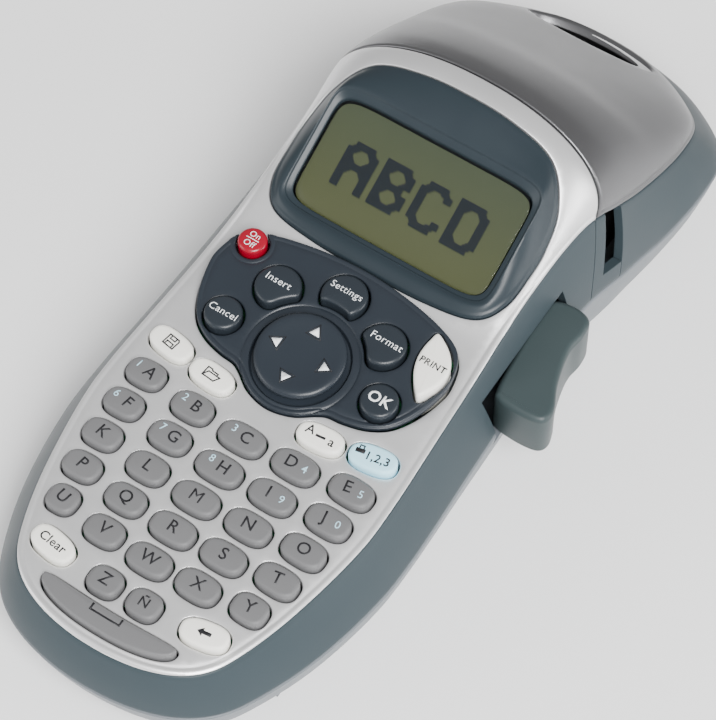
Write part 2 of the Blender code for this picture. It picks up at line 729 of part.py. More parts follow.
def ringed(name, sections, centre, hole_r):
    """Solid of revolution-like stack with a straight bore. sections: (outline, low, high)."""
    outer = []
    for outline, low, high in sections:
        outer += [[(x, y, low) for x, y in outline], [(x, y, high) for x, y in outline]]
    outline = sections[0][0]
    first = math.atan2(outline[0][1] - centre[1], outline[0][0] - centre[0])
    bore = circle(centre, hole_r, len(outline), start=first)       # in step, so the end faces aren't twisted
    low, high = sections[0][1], sections[-1][2]
    rings = outer + [[(x, y, high) for x, y in bore], [(x, y, low) for x, y in bore]]
    return loft(name, rings, capped=False)


def insides():
    board = [(-20, -40), (20, -40), (24, -34), (24.5, 20), (24.5, 41), (-24.5, 41), (-24.5, 20), (-24, -34)]
    place("main_board", prism("main_board", board, -6.8, -5.2), "board")
    cassette = chamfered_box("tape_cassette", (-29.5, 97, -40.6), (26.5, 127, -24.5), 2.5)
    place("tape_cassette", cassette, "black")
    place("print_head", chamfered_box("print_head", (10, 79.4, -19), (24, 82.7, -5), 0.6), "metal")

    towards = math.atan2(DRIVE[1] - PLATEN[1], DRIVE[0] - PLATEN[0])
    roller_gear = gear_outline(PLATEN, PLATEN_TEETH, towards)
    n = len(roller_gear)
    barrel = []
    for k in range(n):
        a = 2 * math.pi * (k + 0.5) / n + towards - 0.3    # keeps its points beside the gear's
        barrel.append((PLATEN[0] + PLATEN_R * math.cos(a), PLATEN[1] + PLATEN_R * math.sin(a)))
    stack = [(roller_gear, *GEAR_Z), (barrel, GEAR_Z[1], ROLLER_TOP)]
    roller = ringed("platen_roller", stack, PLATEN, POST_R + AXLE_PLAY)
    place("platen_roller", roller, "rubber", pivot=(*PLATEN, 0))
    half_tooth = math.pi / DRIVE_TEETH
    wheel = gear_outline(DRIVE, DRIVE_TEETH, towards + math.pi + half_tooth)
    place("drive_gear", ringed("drive_gear", [(wheel, *GEAR_Z)], DRIVE, POST_R + AXLE_PLAY), "white",
          pivot=(*DRIVE, 0))


def chamfered_box(name, low, high, cut):
    outline = [(low[0] + cut, low[1]), (high[0] - cut, low[1]), (high[0], low[1] + cut),
               (high[0], high[1] - cut), (high[0] - cut, high[1]), (low[0] + cut, high[1]),
               (low[0], high[1] - cut), (low[0], low[1] + cut)]
    return prism(name, outline, low[2], high[2])


def cutter():
    plan = [tuple(p) for p in spline(LEVER_PLAN, 2, closed=True)]
    plan = counterclockwise(plan)
    low, high = LEVER_Z
    edge = LEVER_EDGE
    rings = [[(x, y, low) for x, y in grow(plan, -edge)], [(x, y, low + edge) for x, y in plan],
             [(x, y, high - edge) for x, y in plan], [(x, y, high) for x, y in grow(plan, -edge)]]
    place("cutter_lever", loft("cutter_lever", rings, smooth=True), "slate", pivot=LEVER_PIVOT)
    blade = [(27.0, 68.5), (28.2, 68.5), (28.2, 81.2), (27.0, 80.0)]
    place("cutter_blade", prism("cutter_blade", blade, -18.5, -5.5), "metal", pivot=(27.6, 80, -12))


def finishes():
    material("silver", (0.56, 0.56, 0.55), 0.35, 0.6)
    material("slate", (0.12, 0.15, 0.16), 0.45)
    material("dark_slate", (0.05, 0.06, 0.08), 0.4)
    material("gloss_slate", (0.05, 0.07, 0.08), 0.2)
    material("grey", (0.30, 0.33, 0.35), 0.5)
    material("key_grey", (0.26, 0.26, 0.27), 0.6)
    material("key_cream", (0.85, 0.84, 0.80), 0.5)
    material("key_blue", (0.55, 0.78, 0.86), 0.5)
    material("key_slate", (0.06, 0.07, 0.09), 0.4)
    material("key_red", (0.65, 0.03, 0.05), 0.4)
    material("clear", (0.8, 0.85, 0.85), 0.1)
    material("lcd", (0.17, 0.19, 0.11), 0.4)
    material("board", (0.03, 0.2, 0.08), 0.5)
    material("black", (0.03, 0.03, 0.03), 0.5)
    material("metal", (0.6, 0.6, 0.6), 0.3, 1.0)
    material("rubber", (0.05, 0.05, 0.05), 0.8)
    material("white", (0.8, 0.8, 0.78), 0.5)


keypad_frame = start()
finishes()
casings()
display()
keypad(bpy.data.objects["face_plate"])
insides()
cutter()
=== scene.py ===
import json
import math
from contextlib import contextmanager

import bmesh
import bpy
import numpy as np
from mathutils import Matrix, Vector
from mathutils.geometry import delaunay_2d_cdt
from mathutils.kdtree import KDTree


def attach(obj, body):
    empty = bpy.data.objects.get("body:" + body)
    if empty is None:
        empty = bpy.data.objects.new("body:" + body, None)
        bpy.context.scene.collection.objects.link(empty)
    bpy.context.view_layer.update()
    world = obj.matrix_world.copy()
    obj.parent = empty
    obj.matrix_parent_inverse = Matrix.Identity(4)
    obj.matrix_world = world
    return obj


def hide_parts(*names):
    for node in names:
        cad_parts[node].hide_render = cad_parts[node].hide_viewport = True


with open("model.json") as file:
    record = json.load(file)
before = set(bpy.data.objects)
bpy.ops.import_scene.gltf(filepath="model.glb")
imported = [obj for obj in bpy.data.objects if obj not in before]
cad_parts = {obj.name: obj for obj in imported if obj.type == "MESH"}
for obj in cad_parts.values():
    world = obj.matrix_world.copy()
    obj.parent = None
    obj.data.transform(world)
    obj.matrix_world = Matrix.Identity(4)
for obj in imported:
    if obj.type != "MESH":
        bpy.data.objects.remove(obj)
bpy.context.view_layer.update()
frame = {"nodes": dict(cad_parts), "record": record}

MM = 0.001
TILT = math.radians(7.5)
BACK_DEPTH = 31.0
CENTRE = (4.0, 48.2)
KEYPAD = (Matrix.Translation((-CENTRE[0] * MM, -CENTRE[1] * MM, BACK_DEPTH * math.cos(TILT) * MM))
          @ Matrix.Rotation(TILT, 4, "X") @ Matrix.Scale(MM, 4))
TABLE = Matrix.Translation((-CENTRE[0] * MM, 0, 0)) @ Matrix.Scale(MM, 4)

# The design's driving curves, as in the frame's own source.
PARTING = [(0, -57.1), (11, -56.0), (20, -52.8), (26.5, -47.6), (31, -39.8), (35.6, -26.8),
           (38.6, -10.9), (39.2, 3), (38.1, 31), (37.0, 68), (38.6, 88), (39.4, 106), (39.2, 119),
           (37.0, 130.5), (30, 138.2), (17, 145.2), (0, 148)]
SWAY = [(92, 0), (148, 1.8)]
PARTING_Z = [(-60, -10.7), (0, -13.8), (52, -14.3), (72, -15.6), (90, -21.6), (103, -26.4),
             (117, -29.5), (130, -32.8), (148, -37.2)]
EDGE_Z = [(-60, -0.5), (30, -0.4), (46, 1.2), (60, 2.5), (78, 3.0), (84, 1.2), (89, -2.2),
          (97, -7.4), (105, -11.8), (114, -16.2), (123, -20.4), (133, -26.2), (145, -33.0)]
TOP_Z = [(-60, 0.6), (0, 0.8), (36, 0.9), (43.3, 1.6), (47.6, 3.1), (52, 5.2), (73.5, 16.4),
         (78, 18.6), (82.2, 19.9), (85.6, 19.9), (89.5, 18.6), (95.2, 15.7), (104, 9.0),
         (111, 2.4), (124.6, -10.1), (138.4, -22.6), (142.7, -26.8), (146.2, -31.5)]
EDGE_INSET = [(-58, 3.9), (-40, 5.0), (-24, 5.9), (0, 6.0), (50, 6.2), (75, 5.6), (90, 5.4),
              (105, 5.9), (120, 6.5), (132, 6.8), (148, 4.4)]
ROUND = 2.2
END_REACH = 4.0
WALL = 2.0
GAP = 0.3
SEAM_GAP = 0.8
SEAM = (81.4, 0.44)
WALL_SPLIT = ((89.0, 0.0), (93.4, 0.44))
SLOT = [(79.8, -13.0), (91.0, -17.6), (118.0, 30.0), (98.7, 30.0)]
POCKET = ((27, 35.8, -19.2), (60, 67.2, -4.6))
WINDOW = (0.4, 136.2)
WINDOW_SIZE = (31.5, 9.8)
REAR_LEVELS = [(0.0, 0.0), (0.35, 1.1), (0.65, 2.5), (0.86, 4.8), (0.97, 8.0), (1.0, 11.0)]
NAV = (0, 21.0)
NAV_R = 9.5
BOSS_R = 3.9
BOSS_FOOT = -4.7
DISPLAY_Y = (51.2, 73.4)
DISPLAY_Z = (4.7, 16.0)
SLOPE = (DISPLAY_Z[1] - DISPLAY_Z[0]) / (DISPLAY_Y[1] - DISPLAY_Y[0])
FRAME_HALF = 23.6
BAY_HALF = 27.0
BAY_Y = (-76.0, -15.0)
BAY_Z = (2.6, 17.4)
DOOR_THICK = 2.0
PAST_TAIL = -130
UNDER_TABLE = -5
HOLE_GAP = 0.45
LEVER_PLAN = [(32.2, 60.0), (33.2, 64.9), (38.0, 66.2), (42.0, 65.0), (42.9, 61.0), (42.5, 57.0),
              (43.1, 53.0), (44.6, 48.0), (46.6, 43.8), (47.2, 40.8), (45.8, 38.8), (41.5, 38.2),
              (36.0, 38.8), (34.3, 41.0), (33.2, 50.0)]
LEVER_Z = (-18.4, -5.2)
PLATEN = (17.0, 87.4)
DRIVE = (PLATEN[0] - 12.37, PLATEN[1] - 12.37)
POST_R = 1.3
FINE = 16                         # outline points from one station to the next


# ---- curves

def along(table, y):
    """Smooth value of a (Y, value) list at y, with level ends."""
    if y <= table[0][0]:
        return table[0][1]
    if y >= table[-1][0]:
        return table[-1][1]
    i = max(k for k in range(len(table) - 1) if table[k][0] <= y)
    (y0, v0), (y1, v1) = table[i], table[i + 1]
    before = table[i - 1] if i else table[i]
    after = table[i + 2] if i + 2 < len(table) else table[i + 1]
    m0 = (v1 - before[1]) / (y1 - before[0])
    m1 = (after[1] - v0) / (after[0] - y0)
    h = y1 - y0
    t = (y - y0) / h
    return ((2 * t ** 3 - 3 * t ** 2 + 1) * v0 + (t ** 3 - 2 * t ** 2 + t) * h * m0
            + (3 * t ** 2 - 2 * t ** 3) * v1 + (t ** 3 - t ** 2) * h * m1)


def catmull(a, b, c, d, t):
    """Point of a smooth curve between b and c."""
    return 0.5 * (2 * b + (c - a) * t + (2 * a - 5 * b + 4 * c - d) * t * t
                  + (3 * b - a - 3 * c + d) * t ** 3)


def mirrored_spline(points, per_span):
    """Points of a curve through half of a loop that is mirrored in X = 0."""
    p = [Vector(q) for q in points]
    p = [Vector((-p[1][0], p[1][1]))] + p + [Vector((-p[-2][0], p[-2][1]))]
    found = []
    for i in range(1, len(p) - 2):
        found += [catmull(*p[i - 1:i + 3], j / per_span) for j in range(per_span)]
    return found + [p[-2]]


def closed_spline(points, per_span):
    """Smooth closed loop through points."""
    p = [Vector(q[:2]) for q in points]
    n = len(p)
    return np.array([catmull(p[i - 1], p[i], p[(i + 1) % n], p[(i + 2) % n], j / per_span)
                     for i in range(n) for j in range(per_span)])


def left_of(line):
    """A line's mirror image, run the other way."""
    return line[::-1] * (-1, 1)


def mirrored(half):
    """Close half an outline, of (X, Y) points, with its mirror image."""
    return half + [(-x, y) for x, y in reversed(half[1:-1])]


def offset(loop, by):
    """Move a closed counterclockwise loop outwards."""
    run = np.roll(loop, -1, 0) - np.roll(loop, 1, 0)
    run /= np.maximum(np.linalg.norm(run, axis=1), 1e-9)[:, None]
    return loop + np.stack([run[:, 1], -run[:, 0]], 1) * by


def lengths_along(points):
    return np.r_[0, np.cumsum(np.linalg.norm(np.diff(points, axis=0), axis=1))]


def points_at(points, lengths, at):
    return np.stack([np.interp(at, lengths, points[:, k]) for k in (0, 1)], 1)


def resampled(loop, step):
    """The same closed loop with its points step apart."""
    ends = np.vstack([loop, loop[:1]]).astype(float)
    lengths = lengths_along(ends)
    count = max(12, int(round(lengths[-1] / step)))
    return points_at(ends, lengths, np.arange(count) * lengths[-1] / count)


def dense(points, step):
    """An open polyline with its points step apart."""
    lengths = lengths_along(points)
    return points_at(points, lengths, np.linspace(0, lengths[-1], max(3, int(lengths[-1] / step))))


def near_line(line):
    """Function giving the distance of flat points from a polyline's points."""
    tree = KDTree(len(line))
    for i, p in enumerate(line):
        tree.insert((p[0], p[1], 0), i)
    tree.balance()
    return lambda flat: np.array([tree.find((p[0], p[1], 0))[2] for p in flat])


def counterclockwise(loop):
    x, y = loop[:, 0], loop[:, 1]
    return loop if np.sum(x * np.roll(y, -1) - np.roll(x, -1) * y) > 0 else loop[::-1]


def superellipse(width, height, power, count, centre):
    a = 2 * math.pi * (np.arange(count) + 0.5) / count
    c, s = np.cos(a), np.sin(a)
    x = centre[0] + width / 2 * np.sign(c) * np.abs(c) ** (2 / power)
    y = centre[1] + height / 2 * np.sign(s) * np.abs(s) ** (2 / power)
    return np.stack([x, y], 1)


def ring_of(centre, radius, count):
    return superellipse(2 * radius, 2 * radius, 2, count, centre)


HALF = mirrored_spline(PARTING, FINE)


def half_outline(inset):
    """The parting line's right half, moved inwards. inset is a number or a function of Y."""
    moved = []
    for i, p in enumerate(HALF):
        before = HALF[i - 1] if i else Vector((-HALF[1][0], HALF[1][1]))
        after = HALF[i + 1] if i + 1 < len(HALF) else Vector((-HALF[i - 1][0], HALF[i - 1][1]))
        run = (after - before).normalized()
        d = inset(p[1]) if callable(inset) else inset
        moved.append(Vector((p[0] - run[1] * d, p[1] + run[0] * d)))
    moved[0][0] = moved[-1][0] = 0
    return moved


EDGE = half_outline(lambda y: along(EDGE_INSET, y))
EDGE_X = np.array([p[0] for p in EDGE])
EDGE_Y = np.maximum.accumulate(np.array([p[1] for p in EDGE]))
LEVELS = np.linspace(EDGE_Y[0], EDGE_Y[-1], 1800)
SWAYS = np.array([along(SWAY, y) for y in LEVELS])
LOW = np.array([along(EDGE_Z, y) for y in LEVELS])


def end_round(y):
    """1 along the face, and falling off as a quarter ellipse at its ends."""
    t = np.clip(np.minimum(y - EDGE_Y[0], EDGE_Y[-1] - y) / END_REACH, 0, 1)
    return np.sqrt(np.maximum(1 - (1 - t) ** 2, 0))


RISE = np.maximum([along(TOP_Z, y) for y in LEVELS] - LOW, 0.2) * end_round(LEVELS)
PHI = np.linspace(0, math.pi / 2, 81)
SHARE_X = np.sin(PHI) ** (2 / ROUND)
SHARE_Z = np.cos(PHI) ** (2 / ROUND)


def sections(y):
    """Right half of the face's cross-section at each y: X from the middle, Z, and length so far."""
    x = np.interp(y, EDGE_Y, EDGE_X)[:, None] * SHARE_X
    z = np.interp(y, LEVELS, LOW)[:, None] + np.interp(y, LEVELS, RISE)[:, None] * SHARE_Z
    run = np.hypot(np.diff(x, axis=1), np.diff(z, axis=1))
    return x, z, np.hstack([np.zeros((len(y), 1)), np.cumsum(run, axis=1)])


def face_point(flat):
    """Where a point of the unrolled face lies: flat holds length from the middle line and Y."""
    a, y = flat[:, 0], np.clip(flat[:, 1], EDGE_Y[0], EDGE_Y[-1])
    x, z, run = sections(y)
    want = np.minimum(np.abs(a), run[:, -1] - 1e-6)
    k = np.clip((run <= want[:, None]).sum(1) - 1, 0, len(PHI) - 2)
    i = np.arange(len(y))
    t = (want - run[i, k]) / np.maximum(run[i, k + 1] - run[i, k], 1e-9)
    px = x[i, k] + (x[i, k + 1] - x[i, k]) * t
    pz = z[i, k] + (z[i, k + 1] - z[i, k]) * t
    return np.stack([np.sign(a) * px + np.interp(y, LEVELS, SWAYS), y, pz], 1)


def unrolled(loop):
    """Unroll an outline of (X, Y) that lies on the face."""
    loop = np.asarray(loop, float)
    y = np.clip(loop[:, 1], EDGE_Y[0], EDGE_Y[-1])
    x, _, run = sections(y)
    across = loop[:, 0] - np.interp(y, LEVELS, SWAYS)
    a = [np.interp(abs(q), xs, rs) for q, xs, rs in zip(across, x, run)]
    return np.stack([np.sign(across) * a, y], 1)


def girth(y):
    """Length from the face's middle line to its edge."""
    return sections(np.atleast_1d(np.asarray(y, float)))[2][:, -1]


def face_z(x, y):
    """Height of the face at (x, y)."""
    half = np.maximum(np.interp(y, EDGE_Y, EDGE_X), 0.01)
    s = np.clip(np.abs(x - np.interp(y, LEVELS, SWAYS)) / half, 0, 1)
    return np.interp(y, LEVELS, LOW) + np.interp(y, LEVELS, RISE) * (1 - s ** ROUND) ** (1 / ROUND)


def back_z(y):
    return -BACK_DEPTH - math.tan(TILT) * y


def display_z(y):
    return DISPLAY_Z[0] + SLOPE * (y - DISPLAY_Y[0])


def plate_z(y):
    """Height of the sloping control plate."""
    return 1.9 + 0.085 * (y - 17)


# ---- meshes and pieces

def mesh_from(name, verts, faces):
    mesh = bpy.data.meshes.new(name)
    mesh.from_pydata([tuple(v) for v in verts], [], [tuple(f) for f in faces])
    mesh.validate()
    mesh.shade_smooth()
    return mesh


def smoothed(mesh, angle):
    """Smooth shading with sharp edges above an angle."""
    mesh.shade_smooth()
    mesh.set_sharp_from_angle(angle=math.radians(angle))
    return mesh


@contextmanager
def edited(mesh):
    """A mesh opened for editing, and written back."""
    bm = bmesh.new()
    bm.from_mesh(mesh)
    yield bm
    bm.to_mesh(mesh)
    bm.free()


def piece(name, mesh, body, finish, slot, *nodes, place=KEYPAD):
    """A visible piece from a mesh in millimetres, riding on a body and standing for CAD nodes."""
    mesh.transform(place)
    made = bpy.data.objects.new(name, mesh)
    bpy.context.scene.collection.objects.link(made)
    mesh.materials.clear()
    mesh.materials.append(finish)
    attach(made, body)
    if nodes:
        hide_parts(*nodes)
    return made


def loft(rings, capped=True, angle=35):
    """Closed surface through rings of equal count: capped, or joined last to first."""
    n = len(rings[0])
    verts = [p for ring in rings for p in ring]
    faces = []
    pairs = list(zip(range(len(rings) - 1), range(1, len(rings))))
    if not capped:
        pairs.append((len(rings) - 1, 0))
    for low, high in pairs:
        for i in range(n):
            after = (i + 1) % n
            faces.append((low * n + i, low * n + after, high * n + after, high * n + i))
    if capped:
        faces += [list(range(n))[::-1], [(len(rings) - 1) * n + i for i in range(n)]]
    mesh = mesh_from("loft", verts, faces)
    with edited(mesh) as bm:
        bmesh.ops.remove_doubles(bm, verts=bm.verts, dist=1e-4)
        bmesh.ops.recalc_face_normals(bm, faces=bm.faces)
    return smoothed(mesh, angle)


def level(loop, z):
    return [(x, y, z) for x, y in loop]


def prism(loop, low, high):
    return loft([level(loop, low), level(loop, high)])


def box(low, high):
    x0, y0, z0 = low
    x1, y1, z1 = high
    return prism([(x0, y0), (x1, y0), (x1, y1), (x0, y1)], z0, z1)


def evaluated(thing):
    """Mesh of an object with its modifiers applied."""
    bpy.context.view_layer.update()
    return bpy.data.meshes.new_from_object(thing.evaluated_get(bpy.context.evaluated_depsgraph_get()))


def combined(mesh, steps):
    """Mesh after Boolean steps, each (mesh, operation)."""
    scene = bpy.context.scene.collection
    target = bpy.data.objects.new("target", mesh)
    scene.objects.link(target)
    for other, operation in steps:
        step = target.modifiers.new("step", "BOOLEAN")
        step.object = bpy.data.objects.new("helper", other)
        scene.objects.link(step.object)
        step.operation = operation
        step.solver = "EXACT"
    result = evaluated(target)
    for old in [step.object for step in target.modifiers] + [target]:
        bpy.data.objects.remove(old)
    return smoothed(result, 35)


def inside(points, loop):
    """Which points lie inside a closed loop."""
    x, y = points[:, 0][:, None], points[:, 1][:, None]
    ax, ay = loop[:, 0], loop[:, 1]
    bx, by = np.roll(ax, -1), np.roll(ay, -1)
    crosses = (ay > y) != (by > y)
    at = ax + (y - ay) / np.where(by == ay, 1e-9, by - ay) * (bx - ax)
    return (crosses & (x < at)).sum(1) % 2 == 1


def within(points, loops):
    """Which points lie inside the first loop and outside the others."""
    found = inside(points, loops[0])
    for loop in loops[1:]:
        near = np.all((points > loop.min(0)) & (points < loop.max(0)), axis=1) & found
        found[near] = ~inside(points[near], loop)
    return found


def surface_frame(surface, flat):
    """Points and normals of a surface."""
    eps = 0.05
    du = surface(flat + (eps, 0)) - surface(flat - (eps, 0))
    dv = surface(flat + (0, eps)) - surface(flat - (0, eps))
    normal = np.cross(du, dv)
    return surface(flat), normal / np.maximum(np.linalg.norm(normal, axis=1), 1e-12)[:, None]


def sheet(surface, outer, holes, spacing, roll, hole_roll, thickness, relief, marks, lines=()):
    """Plate on a curved surface with rolled edges.

    surface turns flat points into positions. outer and holes are flat loops. roll is the radius of
    the rounding at the outer edge, hole_roll that at the holes. relief(flat points) lifts the surface;
    marks are distances from the outer edge and lines are loops where it needs edges to follow it.
    """
    flat, drop, edges = [], [], []
    shares = (0.0, 0.14, 0.4, 1.0)
    loops = [counterclockwise(loop) for loop in [outer] + holes]
    for number, loop in enumerate(loops):
        radius = hole_roll if number else roll
        for share in shares:
            ring = offset(loop, (share if number else -share) * radius)
            first, n = len(flat), len(ring)
            flat += [tuple(p) for p in ring]
            drop += [radius * (1 - math.sqrt(1 - (1 - share) ** 2))] * n
            edges += [(first + i, first + (i + 1) % n) for i in range(n)]
    for ring in [offset(loops[0], -d) for d in marks] + list(lines):
        clear = ~np.any([inside(ring, loop) for loop in loops[1:]], axis=0)
        first = len(flat)
        flat += [tuple(p) for p in ring[clear]]
        drop += [0.0] * int(clear.sum())
        index = np.cumsum(clear) - 1 + first
        n = len(ring)
        edges += [(index[i], index[(i + 1) % n]) for i in range(n) if clear[i] and clear[(i + 1) % n]]
    (x0, y0), (x1, y1) = loops[0].min(0), loops[0].max(0)
    xs, ys = np.arange(x0, x1, spacing), np.arange(y0, y1, spacing * 0.87)
    grid = np.array([(x + (spacing / 2 if j % 2 else 0), y) for j, y in enumerate(ys) for x in xs])
    grid = grid[within(grid, loops)]
    grid = grid[near_line(flat)(grid) > spacing * 0.55]
    flat += [tuple(p) for p in grid]
    drop += [0.0] * len(grid)
    verts, _, faces, sources, _, _ = delaunay_2d_cdt([Vector(p) for p in flat], edges, [], 0, 1e-5)
    flat_out = np.array([tuple(v) for v in verts])
    drops = np.array([drop[ids[0]] if ids else 0 for ids in sources])
    middles = np.array([flat_out[list(f)].mean(0) for f in faces])
    faces = [f for f, kept in zip(faces, within(middles, loops)) if kept]
    middle, normal = surface_frame(surface, flat_out)
    points = middle + normal * (relief(flat_out) - drops)[:, None]
    back = points - normal * thickness
    n = len(points)
    count = {}
    for f in faces:
        for a, b in ((f[0], f[1]), (f[1], f[2]), (f[2], f[0])):
            count[(a, b)] = count.get((a, b), 0) + 1
    rims = [(a, b) for a, b in count if (b, a) not in count]
    all_faces = [tuple(f) for f in faces] + [tuple(i + n for i in reversed(f)) for f in faces]
    all_faces += [(b, a, a + n, b + n) for a, b in rims]
    mesh = mesh_from("sheet", np.vstack([points, back]), all_faces)
    with edited(mesh) as bm:
        bmesh.ops.delete(bm, geom=[v for v in bm.verts if not v.link_faces], context="VERTS")
        bmesh.ops.dissolve_degenerate(bm, dist=1e-4, edges=bm.edges)
    return smoothed(mesh, 50)


# ---- materials

def socketed(tree, kind, **values):
    """A new node with constants on its sockets."""
    node = tree.nodes.new(kind)
    for name, value in values.items():
        node.inputs[name].default_value = value
    return node


def coloured(tree, factor, low, high):
    """Base colour between two, chosen by a socket."""
    mix = tree.nodes.new("ShaderNodeMix")
    mix.data_type = "RGBA"
    mix.inputs["A"].default_value = (*low, 1)
    mix.inputs["B"].default_value = (*high, 1)
    tree.links.new(factor, mix.inputs["Factor"])
    tree.links.new(mix.outputs["Result"], tree.nodes["Principled BSDF"].inputs["Base Color"])


def plastic(name, colour, roughness=0.4, metallic=0.0, grain=0.05, grain_scale=2500, mottling=0.04,
            coat=0.0, sheen=0.0, edge=0.25, specular=0.35, alpha=1.0):
    """Moulded material: fine grain in the surface, slight unevenness of colour and gloss, soft edges.

    Scales are per metre. edge is the radius in millimetres that sharp edges are softened by.
    """
    made = bpy.data.materials.new(name)
    made.use_nodes = True
    tree = made.node_tree
    shader = tree.nodes["Principled BSDF"]
    for socket, value in (("Metallic", metallic), ("Coat Weight", coat), ("Coat Roughness", 0.12),
                          ("Sheen Weight", sheen), ("Specular IOR Level", specular), ("Alpha", alpha)):
        shader.inputs[socket].default_value = value
    place = tree.nodes.new("ShaderNodeTexCoord")
    mottle = socketed(tree, "ShaderNodeTexNoise", Scale=120.0, Detail=3.0)
    tree.links.new(place.outputs["Object"], mottle.inputs["Vector"])
    dark = tuple(c * (1 - mottling) for c in colour)
    light = tuple(min(1, c * (1 + mottling)) for c in colour)
    coloured(tree, mottle.outputs["Fac"], dark, light)
    fine = socketed(tree, "ShaderNodeTexNoise", Scale=float(grain_scale), Detail=2.0)
    tree.links.new(place.outputs["Object"], fine.inputs["Vector"])
    gloss = tree.nodes.new("ShaderNodeMapRange")
    gloss.inputs["To Min"].default_value = roughness * 0.88
    gloss.inputs["To Max"].default_value = min(1.0, roughness * 1.12)
    tree.links.new(mottle.outputs["Fac"], gloss.inputs["Value"])
    tree.links.new(gloss.outputs["Result"], shader.inputs["Roughness"])
    bump = socketed(tree, "ShaderNodeBump", Strength=grain, Distance=0.0002)
    tree.links.new(fine.outputs["Fac"], bump.inputs["Height"])
    if edge:
        soft = socketed(tree, "ShaderNodeBevel", Radius=edge * MM)
        soft.samples = 4
        tree.links.new(soft.outputs["Normal"], bump.inputs["Normal"])
    tree.links.new(bump.outputs["Normal"], shader.inputs["Normal"])
    return made


def shade_along(finish, span, low, high):
    """Painted shade: colour that runs from one end of a stretch of the table's Y axis to the other."""
    tree = finish.node_tree
    place = tree.nodes.new("ShaderNodeTexCoord")
    parts = tree.nodes.new("ShaderNodeSeparateXYZ")
    tree.links.new(place.outputs["Object"], parts.inputs["Vector"])
    share = tree.nodes.new("ShaderNodeMapRange")
    share.inputs["From Min"].default_value, share.inputs["From Max"].default_value = span
    tree.links.new(parts.outputs["Y"], share.inputs["Value"])
    coloured(tree, share.outputs["Result"], low, high)


SILVER = plastic("silver_paint", (0.74, 0.74, 0.745), 0.36, metallic=0.7, grain=0.12, grain_scale=6000,
                 coat=0.1)
# Painted shade: the cap has the same silver paint as the face, here as a much darker copy standing in for how
# light falls on it.
SHADED_CAP_SILVER = plastic("cap_silver_painted_shade", (0.14, 0.14, 0.145), 0.34, metallic=0.85, grain=0.12, grain_scale=6000,
              coat=0.1)
RIM = plastic("rim_paint", (0.75, 0.75, 0.755), 0.4, metallic=0.3, grain=0.12, grain_scale=6000)
LENS = plastic("clear_pane", (0.02, 0.02, 0.02), 0.06, grain=0, edge=0, mottling=0, alpha=0.12)
LCD = plastic("lcd_glass", (0.048, 0.062, 0.022), 0.35, grain=0.01, edge=0)
# Painted shade on the LCD: lighter at its near edge and darker towards its far edge, standing in for shade.
shade_along(LCD, (0.0, 0.028), (0.080, 0.090, 0.034), (0.050, 0.066, 0.040))
LCD_SHADE = plastic("lcd_shade", (0.026, 0.036, 0.018), 0.4, grain=0, edge=0)
LCD_INK = plastic("lcd_ink", (0.002, 0.006, 0.016), 0.35, grain=0, edge=0)
SIDE = plastic("side_plastic", (0.030, 0.043, 0.050), grain=0.06, specular=0.2)
LEVER = plastic("lever_plastic", (0.030, 0.044, 0.046), 0.42, grain=0.06)
REAR = plastic("rear_plastic", (0.12, 0.135, 0.15), 0.42, grain=0.08)
PLATE = plastic("plate_plastic", (0.016, 0.021, 0.028), 0.34)
BEZEL = plastic("bezel_gloss", (0.016, 0.024, 0.030), 0.36, grain=0.01, specular=0.28)
KEY_GREY = plastic("key_grey_rubber", (0.125, 0.125, 0.128), 0.5, grain=0.08, edge=0, sheen=0.05)
KEY_CREAM = plastic("key_cream_rubber", (0.86, 0.85, 0.79), 0.42, edge=0)
KEY_BLUE = plastic("key_blue_rubber", (0.44, 0.78, 0.92), 0.42, edge=0)
KEY_SLATE = plastic("key_slate_rubber", (0.016, 0.021, 0.027), 0.36, edge=0)
KEY_RED = plastic("key_red_rubber", (0.27, 0.0, 0.014), 0.3, grain=0.04, edge=0, coat=0.2)
BLACK = plastic("cassette_plastic", (0.02, 0.02, 0.022), 0.35)
STEEL = plastic("steel", (0.55, 0.55, 0.56), 0.28, metallic=1.0, grain=0.1, grain_scale=4000)
RUBBER = plastic("black_rubber", (0.02, 0.02, 0.02), 0.7, grain=0.2, grain_scale=1500)
ACETAL = plastic("acetal", (0.80, 0.80, 0.77))
BOARD = plastic("board_resist", (0.015, 0.12, 0.05), 0.35, grain=0.1, grain_scale=900, coat=0.3)
INK_BLACK = plastic("ink_black", (0.010, 0.010, 0.012), 0.5, grain=0.02, edge=0)
INK_WHITE = plastic("ink_white", (0.85, 0.87, 0.88), 0.5, grain=0.02, edge=0)
INK_BLUE = plastic("ink_blue", (0.42, 0.62, 0.72), 0.5, grain=0.02, edge=0)


# ---- camera, floor and light

